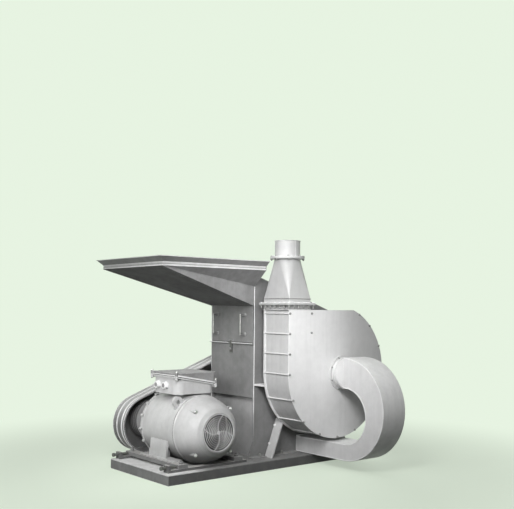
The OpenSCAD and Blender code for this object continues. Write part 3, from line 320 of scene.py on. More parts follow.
def steel(name, colour, stain, gloss, metallic, wear):
    """Bare or machined steel and iron."""
    values = {"Steel": grey(colour), "Stain": stain, "Wear": wear, "Gloss": gloss}
    mat = start_material(name, STEEL_GROUP, values, STEEL_BUMP_MM)
    mat.node_tree.nodes["Principled BSDF"].inputs["Metallic"].default_value = metallic
    return mat


# Finishes with more than one paint, mostly painted light and shade, and with threads or holes
MOTOR_X, MOTOR_Z = -0.513, 0.310
REACH_SOFT = 0.001
THREAD_DEPTH = 0.0008
WAVE_RATE = 20


def paint_over(mat, share, paint):
    """Mix another paint into a finish by a share, over what is linked to it or over its plain colour."""
    tree = mat.node_tree
    socket = tree.nodes["finish"].inputs["Paint"]
    before = socket.links[0].from_socket if socket.links else tuple(socket.default_value)[:3]
    tree.links.new(blend_colour(tree, share, before, grey(paint)), socket)


def paint_band(mat, axis, low, high, soft, paint, reach=None):
    """Another paint between two places along an axis of the object, with soft ends; here mostly painted
    light and shade.

    Where a reach is given, the band stays within that radius of the motor's shaft.
    """
    tree = mat.node_tree
    split = tree.nodes.new("ShaderNodeSeparateXYZ")
    tree.links.new(place(mat), split.inputs[0])
    above = ramp(tree, split.outputs[axis], low - soft, low + soft)
    below = ramp(tree, split.outputs[axis], high + soft, high - soft)
    share = maths(tree, "MULTIPLY", above, below)
    if reach:
        dx = maths(tree, "SUBTRACT", split.outputs["X"], MOTOR_X)
        dz = maths(tree, "SUBTRACT", split.outputs["Z"], MOTOR_Z)
        squares = [maths(tree, "MULTIPLY", v, v) for v in (dx, dz)]
        far = maths(tree, "SQRT", maths(tree, "ADD", *squares), 0.0)
        share = maths(tree, "MULTIPLY", share, ramp(tree, far, reach + REACH_SOFT, reach))
    paint_over(mat, share, paint)


def paint_inside_shade(mat, paint):
    """Painted shade: another paint on the faces that look towards the motor's shaft.

    There normal . (place - shaft) is below zero, leaving out the part along the shaft.
    """
    tree = mat.node_tree
    away = vector_maths(tree, "SUBTRACT", place(mat), (MOTOR_X, 0.0, MOTOR_Z))
    away = vector_maths(tree, "MULTIPLY", away, (1.0, 0.0, 1.0))
    geo = tree.nodes.new("ShaderNodeNewGeometry")
    outward = vector_maths(tree, "DOT_PRODUCT", away, geo.outputs["Normal"])
    paint_over(mat, ramp(tree, outward, -0.003, -0.010), paint)


def add_thread(mat, pitch):
    """Thread ridges along X: waves one pitch apart."""
    tree = mat.node_tree
    wave = tree.nodes.new("ShaderNodeTexWave")
    wave.wave_type = "BANDS"
    wave.bands_direction = "X"
    wave.inputs["Scale"].default_value = 2 * math.pi / pitch / WAVE_RATE
    tree.links.new(place(mat), wave.inputs["Vector"])
    bump = tree.nodes["bump"]
    bump.inputs["Distance"].default_value = THREAD_DEPTH
    tree.links.new(wave.outputs["Fac"], bump.inputs["Height"])


def add_holes(mat, pitch):
    """Round holes: dark discs at the middles of square cells one pitch wide, painted shade for the dark
    seen through them.
    """
    tree = mat.node_tree
    cells = tree.nodes.new("ShaderNodeTexVoronoi")
    cells.inputs["Scale"].default_value = 1 / pitch
    cells.inputs["Randomness"].default_value = 0.0
    tree.links.new(place(mat), cells.inputs["Vector"])
    hole = ramp(tree, cells.outputs["Distance"], 0.34, 0.28)
    colour = blend_colour(tree, hole, tree.nodes["finish"].outputs["Colour"], HOLE_SHADE)
    tree.links.new(colour, tree.nodes["Principled BSDF"].inputs["Base Color"])


# Painted finishes: paint, edge grey (wear and painted highlight), mottling, dust, wear, roughness and shine
PAINTS = {
    "base_paint": (0.13, 0.45, 0.30, 0.95, 0.5, 0.50, 0.25),
    # end_paint: base_paint again, carrying the lighter end face (painted light)
    "end_paint": (0.13, 0.45, 0.30, 0.95, 0.5, 0.50, 0.25),
    "deck_paint": (0.22, 0.60, 0.30, 0.25, 0.5, 0.55, 0.25),
    "bar_paint": (0.21, 0.60, 0.30, 0.50, 0.6, 0.50, 0.30),
    "mill_paint": (0.26, 0.65, 0.28, 0.40, 0.6, 0.45, 0.30),
    # cover_paint: mill_paint again, carrying a dark line at the cover's foot (painted shadow)
    "cover_paint": (0.26, 0.65, 0.28, 0.40, 0.6, 0.45, 0.30),
    # toe_paint: the mill's paint made lighter for the shaded toe panel: painted light
    "toe_paint": (0.43, 0.70, 0.25, 0.30, 0.5, 0.45, 0.30),
    "hopper_paint": (0.33, 0.60, 0.30, 0.30, 0.5, 0.70, 0.05),
    "rim_paint": (0.31, 0.60, 0.22, 0.30, 0.6, 0.50, 0.25),
    # fan_paint and the rows down to cheek_paint are one light grey paint, copied lighter or darker part by
    # part: painted light and shade
    "fan_paint": (0.70, 0.86, 0.14, 0.10, 0.6, 0.48, 0.25),
    "face_paint": (0.84, 0.90, 0.10, 0.10, 0.6, 0.45, 0.30),
    "scroll_paint": (0.53, 0.86, 0.16, 0.10, 0.6, 0.45, 0.30),
    "leg_paint": (0.58, 0.86, 0.16, 0.10, 0.6, 0.45, 0.30),
    "neck_paint": (0.42, 0.80, 0.25, 0.10, 0.6, 0.50, 0.25),
    "cone_paint": (0.50, 0.86, 0.14, 0.10, 0.6, 0.32, 0.60),
    "pipe_paint": (0.60, 0.86, 0.12, 0.10, 0.6, 0.34, 0.55),
    "bow_paint": (0.86, 0.90, 0.16, 0.10, 0.6, 0.40, 0.40),
    "cheek_paint": (0.65, 0.86, 0.14, 0.10, 0.6, 0.45, 0.30),
    # motor_paint, frame_paint and cowl_paint are one paint in slightly lighter and darker copies: painted
    # light and shade
    "motor_paint": (0.60, 0.84, 0.16, 0.10, 0.6, 0.45, 0.30),
    "frame_paint": (0.58, 0.84, 0.20, 0.10, 0.6, 0.38, 0.50),
    "cowl_paint": (0.55, 0.86, 0.20, 0.10, 0.6, 0.35, 0.50),
    "lid_paint": (0.34, 0.84, 0.35, 0.10, 0.7, 0.60, 0.10),
    "guard_paint": (0.50, 0.86, 0.25, 0.10, 0.7, 0.40, 0.35),
    # bead_paint and edge_paint: near-white for beads, rolled edges, wires, shelves and bolt heads: painted
    # highlights along edges that catch the light
    "bead_paint": (0.82, 0.86, 0.15, 0.10, 0.5, 0.40, 0.35),
    "edge_paint": (0.82, 0.86, 0.15, 0.10, 0.5, 0.40, 0.35),
    # belt_rubber: a grey far lighter than black rubber, painted light lifting the shade inside the guard;
    # pulley_paint: the pulleys' paint, kept light for the same lift
    "pulley_paint": (0.40, 0.60, 0.25, 0.10, 0.5, 0.50, 0.30),
    "belt_rubber": (0.19, 0.26, 0.20, 0.10, 0.3, 0.60, 0.20),
    "seal_rubber": (0.30, 0.40, 0.15, 0.10, 0.3, 0.60, 0.20),
    "gland_plastic": (0.86, 0.90, 0.06, 0.05, 0.3, 0.35, 0.50),
    "fan_plastic": (0.02, 0.05, 0.20, 0.10, 0.3, 0.50, 0.20),
}
# Steel finishes: colour, stain, roughness, share of metal and wear
STEELS = {
    "bolt_steel": (0.42, 0.30, 0.32, 0.85, 0.4),
    "bright_steel": (0.60, 0.12, 0.24, 0.85, 0.4),
    "cast_iron": (0.24, 0.35, 0.50, 0.40, 0.4),
    "nut_steel": (0.34, 0.30, 0.36, 0.60, 0.4),
    "dark_bolt": (0.16, 0.30, 0.36, 0.60, 0.3),
    "screw_thread": (0.20, 0.30, 0.35, 0.85, 0.4),
    "screen_plate": (0.50, 0.20, 0.30, 0.85, 0.4),
}
# Bands of another paint, mostly painted light and shade: axis, from, to, softness, paint and, near the
# motor's shaft, the reach
BANDS = [
    # Base's end face lighter: painted light
    ("end_paint", "X", -1.2, -0.897, 0.002, 0.21),
    # Deck lighter towards its left end: painted light
    ("deck_paint", "X", -1.2, -0.62, 0.10, 0.80),
    # Dark line along the cover's foot above the fold: painted shadow
    ("cover_paint", "Z", 0.88, 0.8975, 0.0015, 0.05),
    # Edge lines darker towards the bottom: painted shade
    ("edge_paint", "Z", -1.0, 0.34, 0.16, 0.24),
    ("rim_paint", "Z", 1.418, 1.443, 0.003, 0.70),
    # Fan's front plate darker towards its right side: painted shade
    ("face_paint", "X", 0.46, 1.2, 0.20, 0.60),
    # Guard darker towards the bottom: painted shade
    ("guard_paint", "Z", -1.0, 0.36, 0.10, 0.22),
    # Frame: the seam's recess dark, and the frame darker towards its underside: painted shade
    ("frame_paint", "Y", -0.3, -0.1768, 0.0006, 0.03, 0.2325),
    ("frame_paint", "Z", -1.0, 0.20, 0.04, 0.46),
    ("frame_paint", "Z", -1.0, 0.20, 0.09, 0.16, 0.2335),
    # Cowl darker towards its underside, with a dark line at its rim by the seam: painted shade
    ("cowl_paint", "Z", -1.0, 0.19, 0.09, 0.14),
    ("cowl_paint", "Y", -0.189, -0.1, 0.0008, 0.06),
]
# Grey of the painted shade inside the cowl
COWL_INSIDE_SHADE = 0.03
SCREW_PITCH, SCREEN_PITCH = 0.0025, 0.014

FINISHES = {name: painted(name, *values) for name, values in PAINTS.items()}
FINISHES.update({name: steel(name, *values) for name, values in STEELS.items()})
# Cowl's inside dark: painted shade
paint_inside_shade(FINISHES["cowl_paint"], COWL_INSIDE_SHADE)
for name, *band in BANDS:
    paint_band(FINISHES[name], *band)
add_thread(FINISHES["screw_thread"], SCREW_PITCH)
add_holes(FINISHES["screen_plate"], SCREEN_PITCH)

# Solids with a finish of their own, many of them lighter or darker copies of one paint as painted light and
# shade; the others have their slot's
OWN_FINISH = {
    "base_channels": "end_paint",
    "base_deck": "deck_paint",
    "tension_screws": "screw_thread",
    "motor_foot_bars": "bar_paint",
    "motor_frame": "frame_paint",
    "motor_cowl": "cowl_paint",
    # Grille wires near-white: painted highlight
    "motor_grille": "bead_paint",
    "terminal_lid": "lid_paint",
    "motor_shaft": "cast_iron",
    # Pulleys' paint kept light to lift the shade inside the guard: partly painted light
    "motor_pulley": "pulley_paint",
    "mill_pulley": "pulley_paint",
    "belt_guard": "guard_paint",
    # Toe panel lighter than the mill's paint: painted light
    "toe_panel": "toe_paint",
    "inspection_cover": "cover_paint",
    "cover_hasp": "dark_bolt",
    "screen": "screen_plate",
    "hopper_rim": "rim_paint",
    # Bearing shelves near-white: painted highlight
    "bearing_shelves": "bead_paint",
    "fan_front_plate": "face_paint",
    "fan_scroll": "scroll_paint",
    "fan_legs": "leg_paint",
    "outlet_neck": "neck_paint",
    "outlet_transition": "cone_paint",
    "outlet_pipe": "pipe_paint",
    "inlet_collar": "cheek_paint",
    "elbow_cheeks": "cheek_paint",
    "elbow_bands": "bow_paint",
}
for name, obj in nodes.items():
    obj.data.materials.clear()
    obj.data.materials.append(FINISHES[OWN_FINISH.get(name, slot_of[name])])

# Shapes: grids of points worked out as whole arrays
SHARP_DEGREES = 35
JOIN_DIGITS = 7
WELD_STEP, WELD_SIDES, WELD_SWELL = 0.0035, 6, 0.16


def grid_faces(nu, nv, close_u, close_v):
    """Quads of an nu x nv grid of points, joined round where a direction is closed."""
    iu = np.arange(nu if close_u else nu - 1)
    iv = np.arange(nv if close_v else nv - 1)
    u, v = np.meshgrid(iu, iv, indexing="ij")
    u2, v2 = (u + 1) % nu, (v + 1) % nv
    return np.stack([u * nv + v, u2 * nv + v, u2 * nv + v2, u * nv + v2], -1).reshape(-1, 4)


def add_piece(name, shapes, finish, body):
    """One mesh object from (points, quads) shapes.

    Coinciding points are joined, collapsed corners dropped and steep edges kept sharp.
    """
    counts = np.cumsum([0] + [len(v) for v, _ in shapes])
    points = np.concatenate([v for v, _ in shapes])
    quads = np.concatenate([f + n for (_, f), n in zip(shapes, counts)])
    rounded = np.round(points, JOIN_DIGITS)
    _, first, where = np.unique(rounded, axis=0, return_index=True, return_inverse=True)
    quads = where.reshape(-1)[quads]
    keep = quads != np.roll(quads, -1, axis=1)
    sound = keep.sum(1) > 2
    quads, keep = quads[sound], keep[sound]
    sizes = keep.sum(1)
    mesh = bpy.data.meshes.new(name)
    mesh.vertices.add(len(first))
    mesh.vertices.foreach_set("co", points[first].astype(np.float32).ravel())
    mesh.loops.add(int(sizes.sum()))
    mesh.loops.foreach_set("vertex_index", quads[keep].astype(np.int32))
    mesh.polygons.add(len(quads))
    mesh.polygons.foreach_set("loop_start", (np.cumsum(sizes) - sizes).astype(np.int32))
    mesh.polygons.foreach_set("use_smooth", np.ones(len(quads), bool))
    mesh.update(calc_edges=True)
    mesh.validate()
    mesh.set_sharp_from_angle(angle=math.radians(SHARP_DEGREES))
    mesh.materials.append(FINISHES[finish])
    obj = bpy.data.objects.new(name, mesh)
    bpy.context.scene.collection.objects.link(obj)
    if body:
        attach(obj, body)
    return obj


def spun(profile, centres, axis, sides):
    """Profile of (radius, height) turned about an axis at each centre.

    A point is centre + radius (cos t e1 + sin t e2) + height axis.
    """
    profile, centres = np.array(profile, float), np.atleast_2d(centres).astype(float)
    a = np.array(axis, float) / np.linalg.norm(axis)
    e1 = np.cross([0, 0, 1] if abs(a[2]) < 0.9 else [1, 0, 0], a)
    e1 /= np.linalg.norm(e1)
    e2 = np.cross(a, e1)
    t = np.linspace(0, 2 * np.pi, sides, endpoint=False)
    ring = np.cos(t)[:, None] * e1 + np.sin(t)[:, None] * e2
    one = ring[:, None, :] * profile[None, :, :1] + profile[None, :, 1:] * a
    points = (centres[:, None, None, :] + one).reshape(-1, 3)
    faces = grid_faces(sides, len(profile), True, False)
    step = np.arange(len(centres))[:, None, None] * (sides * len(profile))
    return points, (faces[None] + step).reshape(-1, 4)


def swept(path, normal, section, closed):
    """Section of (side, normal) points carried along a flat path with mitred corners.

    Side = direction x normal. Open ends close to a point.
    """
    path, section = np.array(path, float), np.array(section, float)
    normal = np.array(normal, float) / np.linalg.norm(normal)
    ahead = np.roll(path, -1, axis=0) - path if closed else np.diff(path, axis=0)
    ahead /= np.linalg.norm(ahead, axis=1)[:, None]
    side = np.cross(ahead, normal)
    back, fore = (np.roll(side, 1, axis=0), side) if closed else (
        np.concatenate([side[:1], side]), np.concatenate([side, side[-1:]]))
    mitre = (back + fore) / (1 + (back * fore).sum(1))[:, None]
    rings = path[:, None] + mitre[:, None] * section[None, :, :1] + section[None, :, 1:] * normal
    if not closed:
        ends = rings[[0, -1]].mean(1, keepdims=True).repeat(rings.shape[1], axis=1)
        rings = np.concatenate([ends[:1], rings, ends[1:]])
    return rings.reshape(-1, 3), grid_faces(len(rings), len(section), closed, True)


def round_section(radius, sides=8):
    """Circle as a section."""
    t = np.linspace(0, 2 * np.pi, sides, endpoint=False)
    return radius * np.stack([np.cos(t), np.sin(t)], 1)


def rod(path, normal, radius, closed=False):
    """Round rod along a flat path."""
    return swept(path, normal, round_section(radius), closed)


def evenly(path, step, closed):
    """Points one step apart along a path of straight runs."""
    path = np.array(path, float)
    if closed:
        path = np.concatenate([path, path[:1]])
    run = np.concatenate([[0], np.cumsum(np.linalg.norm(np.diff(path, axis=0), axis=1))])
    count = max(int(run[-1] / step), 2)
    at = np.linspace(0, run[-1], count, endpoint=not closed)
    return np.stack([np.interp(at, run, path[:, i]) for i in range(3)], 1)


def weld(path, normal, radius, closed=False):
    """Weld bead: a round rod along the path, its radius swelling by a sixth at every 7 mm ripple."""
    line = evenly(path, WELD_STEP, closed)
    points, faces = swept(line, normal, round_section(radius, WELD_SIDES), closed)
    rings = points.reshape(-1, WELD_SIDES, 3)
    middle = rings.mean(1, keepdims=True)
    swell = 1 + WELD_SWELL * np.cos(np.arange(len(rings)) * np.pi)[:, None, None]
    return (middle + (rings - middle) * swell).reshape(-1, 3), faces


def around(centre, e1, e2, radius, degrees):
    """Places on a circle: centre + radius (cos t e1 + sin t e2) at each turn t."""
    t = np.radians(degrees)[:, None]
    return np.array(centre) + radius * (np.cos(t) * e1 + np.sin(t) * e2)


def arc(centre, e1, e2, radius, start, stop, count):
    """Places on a circle, spread evenly from start to stop degrees."""
    return around(centre, e1, e2, radius, np.linspace(start, stop, count))


def hex_nut(centres, axis, radius, height):
    """Hexagon nut or bolt head with a chamfered crown."""
    r, h = radius, height
    return spun([(0, 0), (r, 0), (r, 0.78 * h), (0.86 * r, h), (0, h)], centres, axis, 6)


def rod_end(centres, axis, radius, height):
    """Round end of a bolt with a small chamfer."""
    r, h = radius, height
    return spun([(0, 0), (r, 0), (r, h - 0.2 * r), (0.8 * r, h), (0, h)], centres, axis, 14)


def washer(centres, axis, radius, height):
    """Flat washer."""
    r, h = radius, height
    return spun([(0, 0), (r, 0), (r, 0.8 * h), (0.97 * r, h), (0, h)], centres, axis, 20)


def lift(centres, axis, distance):
    """Places moved along an axis."""
    return np.atleast_2d(centres) + np.array(axis, float) * distance


def rectangle(a0, a1, b0, b1):
    """Corners of a rectangle, anticlockwise."""
    return np.array([[a0, b0], [a1, b0], [a1, b1], [a0, b1]])


def level(places, z):
    """Flat (x, y) places at a height."""
    return np.insert(places, 2, z, axis=1)


def upright(places, y):
    """Flat (x, z) places in an upright plane across the base."""
    return np.insert(places, 1, y, axis=1)


# Fan casing
FAN_X, FAN_Z = 0.420, 0.690
FRONT_Y, BACK_Y = -0.579, -0.308
ROD_R = 0.471
ROD_TURNS = np.append(np.arange(202.5, 406, 22.5), 62.03)
SIDE_ROD_Z = FAN_Z + 0.141 * np.arange(4)
TOP_ROD_X, TOP_ROD_Z = 0.154, (1.114, 0.978)
ROD_NUT = (0.0086, 0.0068)
FRONT_TIP, BACK_TIP = (0.0048, 0.0115), (0.0048, 0.0105)
SCROLL_R, SCROLL_TOP, SCROLL_END = 0.4655, 1.139, 0.680
SCROLL_INSET = 0.0075
THIN_WELD = 0.0028

front_rods = np.concatenate([
    [(FAN_X - ROD_R, FRONT_Y, z) for z in SIDE_ROD_Z],
    around((FAN_X, FRONT_Y, FAN_Z), X, Z, ROD_R, ROD_TURNS),
    [(TOP_ROD_X, FRONT_Y, z) for z in TOP_ROD_Z],
])
back_rods = lift(front_rods, Y, BACK_Y - FRONT_Y)
add_piece("tie_rod_nuts", [
    hex_nut(front_rods, -Y, *ROD_NUT), rod_end(front_rods, -Y, *FRONT_TIP),
    hex_nut(back_rods, Y, *ROD_NUT), rod_end(back_rods, Y, *BACK_TIP),
], "nut_steel", "root")


def scroll_line(y):
    """Run of the scroll band: down the outlet's side, round the foot and up to the inlet's height."""
    round_foot = arc((FAN_X, y, FAN_Z), X, Z, SCROLL_R, 180, 360, 73)
    top, end = (FAN_X - SCROLL_R, y, SCROLL_TOP), (FAN_X + SCROLL_R, y, SCROLL_END)
    return np.concatenate([[top], round_foot, [end]])


add_piece("scroll_welds", [
    weld(scroll_line(y), -Y, THIN_WELD) for y in (FRONT_Y + SCROLL_INSET, BACK_Y - SCROLL_INSET)
], "fan_paint", "root")

# Outlet: square flange, ring flange and pipe
NECK_X, NECK_Y = 0.042, -0.4435
BOLTS_X, BOLTS_Y = (-0.0705, 0.1545), (-0.5915, -0.2955)
BOLT_COUNT_X, BOLT_COUNT_Y = 6, 7
FLANGE_TOP, FLANGE_THICK = 1.188, 0.016
RING_FOOT, RING_THICK, RING_R = 1.498, 0.016, 0.1125
RING_TURNS = np.arange(5.4, 360, 45)
SQUARE_NUT, SQUARE_ROD, SQUARE_HEAD = (0.0095, 0.0085), (0.0055, 0.023), (0.0080, 0.0040)
RING_NUT, RING_ROD = (0.0085, 0.0075), (0.0048, 0.012)
PIPE_R, PIPE_FOOT, PIPE_TOP = 0.0905, 1.515, 1.6245
PIPE_LIP = 0.0024
PIPE_SEAM_X, PIPE_SEAM_Y, PIPE_SEAM_Z = NECK_X - 0.0059, NECK_Y - 0.0898, (1.516, 1.622)
PIPE_SEAM = 0.0022
NECK_WALLS = np.array([-0.058, 0.142, FRONT_Y, BACK_Y])
NECK_WELD_Z, SKIRT_WELD_Z, NECK_WELD = 1.1405, 1.190, 0.003
SKIRT_FOLD_Z, SKIRT_FOLD, SKIRT_FOLD_OUT = 1.2152, 0.0022, 0.0008

square_bolts = np.concatenate([
    [(x, y) for x in np.linspace(*BOLTS_X, BOLT_COUNT_X) for y in BOLTS_Y],
    [(x, y) for y in np.linspace(*BOLTS_Y, BOLT_COUNT_Y)[1:-1] for x in BOLTS_X],
])
square_top = level(square_bolts, FLANGE_TOP)
square_foot = lift(square_top, Z, -FLANGE_THICK)
ring_foot = around((NECK_X, NECK_Y, RING_FOOT), X, Y, RING_R, RING_TURNS)
add_piece("outlet_bolts", [
    hex_nut(square_foot, -Z, *SQUARE_NUT), rod_end(square_foot, -Z, *SQUARE_ROD),
    hex_nut(ring_foot, -Z, *RING_NUT), rod_end(ring_foot, -Z, *RING_ROD),
    hex_nut(lift(ring_foot, Z, RING_THICK), Z, *RING_NUT),
], "nut_steel", "root")
# Bolt heads on the flange's top near-white: painted highlight
add_piece("outlet_bolt_heads", [hex_nut(square_top, Z, *SQUARE_HEAD)], "bead_paint", "root")


def pipe_ring(z):
    """Circle round the outlet pipe at a height."""
    return arc((NECK_X, NECK_Y, z), X, Y, PIPE_R, 0, 357, 120)


add_piece("pipe_rim", [rod(pipe_ring(PIPE_TOP), Z, PIPE_LIP, True)], "fan_paint", "root")
skirt_walls = NECK_WALLS + SKIRT_FOLD_OUT * np.array([-1, 1, -1, 1])
# Dark rod along the skirt's fold: painted shade in the crease
skirt_fold_shade = level(rectangle(*skirt_walls), SKIRT_FOLD_Z)
add_piece("skirt_fold_shade", [rod(skirt_fold_shade, Z, SKIRT_FOLD, True)], "dark_bolt", "root")
pipe_seam = [(PIPE_SEAM_X, PIPE_SEAM_Y, z) for z in PIPE_SEAM_Z]
add_piece("outlet_welds", [
    weld(level(rectangle(*NECK_WALLS), NECK_WELD_Z), Z, NECK_WELD, True),
    weld(level(rectangle(*NECK_WALLS), SKIRT_WELD_Z), Z, NECK_WELD, True),
    weld(pipe_ring(PIPE_FOOT), Z, THIN_WELD, True),
    weld(pipe_seam, Y, PIPE_SEAM),
], "fan_paint", "root")

# Bolts on the fan's legs
LEG_X, LEG_Y, LEG_Z = 0.027, -0.239, 0.067
LEG_LEAN = 0.395
LEG_BOLT_Z = np.array([0.160, 0.290])
LEG_HEAD = (0.0095, 0.008)
LEFT_FACE, RIGHT_FACE = (-0.930, 0, 0.367), (0.930, 0, 0.367)

left_bolts = upright(np.stack([LEG_X + LEG_LEAN * (LEG_BOLT_Z - LEG_Z), LEG_BOLT_Z], 1), LEG_Y)
right_bolts = left_bolts * [-1, 1, 1] + X * 2 * FAN_X
# Leg bolt heads near-white: painted highlight
add_piece("leg_bolts", [
    hex_nut(left_bolts, LEFT_FACE, *LEG_HEAD), hex_nut(right_bolts, RIGHT_FACE, *LEG_HEAD),
], "bead_paint", "root")

# Suction elbow and inlet collar
SHAFT_X, SHAFT_Z = 0.464, 0.680
CHEEKS_X = (0.354, 0.574)
BEND_Y, BEND_Z, BEND_R = -0.716, 0.4365, 0.3645
THROAT_Z, THROAT_R = 0.3875, 0.1975
DUCT_Y, MOUTH_Y = -0.212, -0.702
CHEEK_INSET, CHEEK_WELD = 0.0042, 0.0032
DUCT_WALLS, DUCT_WELD_Y, DUCT_WELD = (*CHEEKS_X, 0.072, 0.190), -0.2145, 0.0045
MOUTH_WALLS = (0.3545, 0.5735, 0.5855, 0.8005)
COLLAR_Y, COLLAR_R = -0.589, 0.1222
COLLAR_TURNS = np.arange(22.5, 360, 45)
COLLAR_HEAD, COLLAR_TIP = (0.0066, 0.0055), (0.0036, 0.0085)


def cheek_line(x, z, radius, count):
    """Edge of a cheek: along the lower duct, half round the bend and back along the upper duct."""
    bend = arc((x, BEND_Y, z), Y, Z, radius, -90, -270, count)
    return np.concatenate([[(x, DUCT_Y, z - radius)], bend, [(x, MOUTH_Y, z + radius)]])


CHEEK_EDGES = ((BEND_Z, BEND_R - CHEEK_INSET, 61), (THROAT_Z, THROAT_R + CHEEK_INSET, 49))
# Cheek welds near-white: painted highlight along the elbow's edges
add_piece("elbow_welds", [
    weld(cheek_line(x, *edge), X, CHEEK_WELD) for x in CHEEKS_X for edge in CHEEK_EDGES
], "bead_paint", "root")
add_piece("duct_welds", [
    weld(upright(rectangle(*DUCT_WALLS), DUCT_WELD_Y), -Y, DUCT_WELD, True),
    weld(upright(rectangle(*MOUTH_WALLS), MOUTH_Y), -Y, CHEEK_WELD, True),
], "cheek_paint", "root")
collar_bolts = around((SHAFT_X, COLLAR_Y, SHAFT_Z), X, Z, COLLAR_R, COLLAR_TURNS)
add_piece("collar_bolts", [
    hex_nut(collar_bolts, -Y, *COLLAR_HEAD), rod_end(collar_bolts, -Y, *COLLAR_TIP),
], "bolt_steel", "root")

# Motor: screws on the cowl and the terminal box
BOSS_Y, BOSS_R, BOSS_TURNS = -0.3304, 0.2055, np.arange(45, 360, 90)
BOSS_WASHER, BOSS_HEAD = (0.0105, 0.002), (0.0085, 0.006)
BOX_X, BOX_SLANT = -0.533, 0.186
LUG_OUT_X, LUG_OUT_Y, LUG_Z, LUG_FALL, LUG_TALL = 0.165, 0.154, 0.672, 0.0307, 0.048
LUG_WASHER, LUG_HEAD = (0.0094, 0.0018), (0.0078, 0.0062)

bosses = around((MOTOR_X, BOSS_Y, MOTOR_Z), X, Z, BOSS_R, BOSS_TURNS)
lug_tops = np.array([
    (BOX_X + i * LUG_OUT_X, j * LUG_OUT_Y, LUG_Z - i * LUG_FALL) for i in (-1, 1) for j in (-1, 1)])
add_piece("motor_screws", [
    washer(bosses, -Y, *BOSS_WASHER), hex_nut(lift(bosses, -Y, BOSS_WASHER[1]), -Y, *BOSS_HEAD),
    washer(lug_tops, Z, *LUG_WASHER), hex_nut(lift(lug_tops, Z, LUG_WASHER[1]), Z, *LUG_HEAD),
    hex_nut(lift(lug_tops, Z, -LUG_TALL), -Z, *LUG_HEAD),
], "bright_steel", "motor")

# Motor: slanted split of the terminal box
SPLIT_Z, SPLIT_CORE, SPLIT_ROUND = 0.648, (0.131, 0.125), 0.040
SPLIT_UP = (BOX_SLANT, 0, 1)
BOX_FLANGE = rectangle(-0.024, 0, -0.0120, -0.0040)
LID_FLANGE = rectangle(-0.024, 0.0012, 0.0002, 0.0110)
BOX_GASKET = rectangle(-0.024, -0.0012, -0.0040, 0.0002)

corner_turns = np.radians(np.arange(3, 360, 6))
corner = np.stack([np.cos(corner_turns), np.sin(corner_turns)], 1)
split_plan = np.sign(corner) * SPLIT_CORE + SPLIT_ROUND * corner
split_line = np.insert(split_plan, 2, SPLIT_Z - BOX_SLANT * split_plan[:, 0], axis=1) + X * BOX_X
for name, section, finish, slot in (
    ("box_flange", BOX_FLANGE, "motor_paint", "motor_paint"),
    # Lid flange near-white: painted highlight
    ("lid_flange", LID_FLANGE, "bead_paint", "motor_paint"),
    ("box_gasket", BOX_GASKET, "fan_plastic", "belt_rubber"),
):
    add_piece(name, [swept(split_line, SPLIT_UP, section, True)], finish, "motor")

# Motor: drive end flange and cable glands
LUGS_Y, LUGS_R, LUGS_TURNS, LUG_LONG = 0.206, 0.2385, np.arange(5, 360, 22.5), 0.014
LUG_PROFILE = [(0, 0), (0.0105, 0), (0.0115, 0.001), (0.0115, 0.013), (0.0105, LUG_LONG), (0, LUG_LONG)]
FLANGE_HEAD = (0.0085, 0.0066)
GLAND_ENDS = np.array([[-0.721, -0.025, 0.610], [-0.721, 0.070, 0.610]])
SEAL_PROFILE = [(0, 0), (0.015, 0), (0.015, 0.0012), (0.0135, 0.0016), (0, 0.0016)]
GLAND_RINGS = ((0.0015, 0.0212, 0.0026), (0.010, 0.0232, 0.0018))

flange_lugs = around((MOTOR_X, LUGS_Y, MOTOR_Z), X, Z, LUGS_R, LUGS_TURNS)
add_piece("flange_lugs", [spun(LUG_PROFILE, flange_lugs, Y, 18)], "motor_paint", "motor")
add_piece("flange_screws", [
    hex_nut(flange_lugs, -Y, *FLANGE_HEAD), hex_nut(lift(flange_lugs, Y, LUG_LONG), Y, *FLANGE_HEAD),
], "bright_steel", "motor")
add_piece("gland_seals", [spun(SEAL_PROFILE, GLAND_ENDS, -X, 28)], "seal_rubber", "motor")
add_piece("gland_rings", [
    rod(arc(end + X * depth, Z, Y, radius, 0, 352, 46), -X, thick, True)
    for depth, radius, thick in GLAND_RINGS for end in GLAND_ENDS
], "gland_plastic", "motor")

# Belt guard
SLOPE = math.radians(20.74)
ALONG = np.array([math.cos(SLOPE), 0, math.sin(SLOPE)])
ACROSS = np.array([-math.sin(SLOPE), 0, math.cos(SLOPE)])
GUARD_AT = np.array([MOTOR_X, 0.388, MOTOR_Z])
GUARD_LOW, GUARD_HIGH = -0.070, 1.0747
SWAGE_R, SWAGE_DEPTHS = 0.203, (0.044, 0.110)
SWAGE = np.array([[-0.002, -0.009], [0.0012, -0.0075], [0.0036, -0.004], [0.0045, 0], [0.0036, 0.004],
                  [0.0012, 0.0075], [-0.002, 0.009]])
FRONT_LIP, BACK_LIP = (0.2095, 0.002, 0.0026), (0.2062, 0.158, 0.002)


def guard_line(radius, depth):
    """Stadium round the guard's dish: a half circle at each end, joined by straight sides."""
    low = arc(GUARD_AT + GUARD_LOW * ALONG + Y * depth, ALONG, ACROSS, radius, 270, 90, 41)
    high = arc(GUARD_AT + GUARD_HIGH * ALONG + Y * depth, ALONG, ACROSS, radius, 90, -90, 41)
    return np.concatenate([low, high])


# Guard's swages and lips near-white: painted highlight
add_piece("guard_beads", [swept(guard_line(SWAGE_R, depth), Y, SWAGE, True) for depth in SWAGE_DEPTHS] + [
    rod(guard_line(radius, depth), Y, thick, True) for radius, depth, thick in (FRONT_LIP, BACK_LIP)
], "bead_paint", "root")

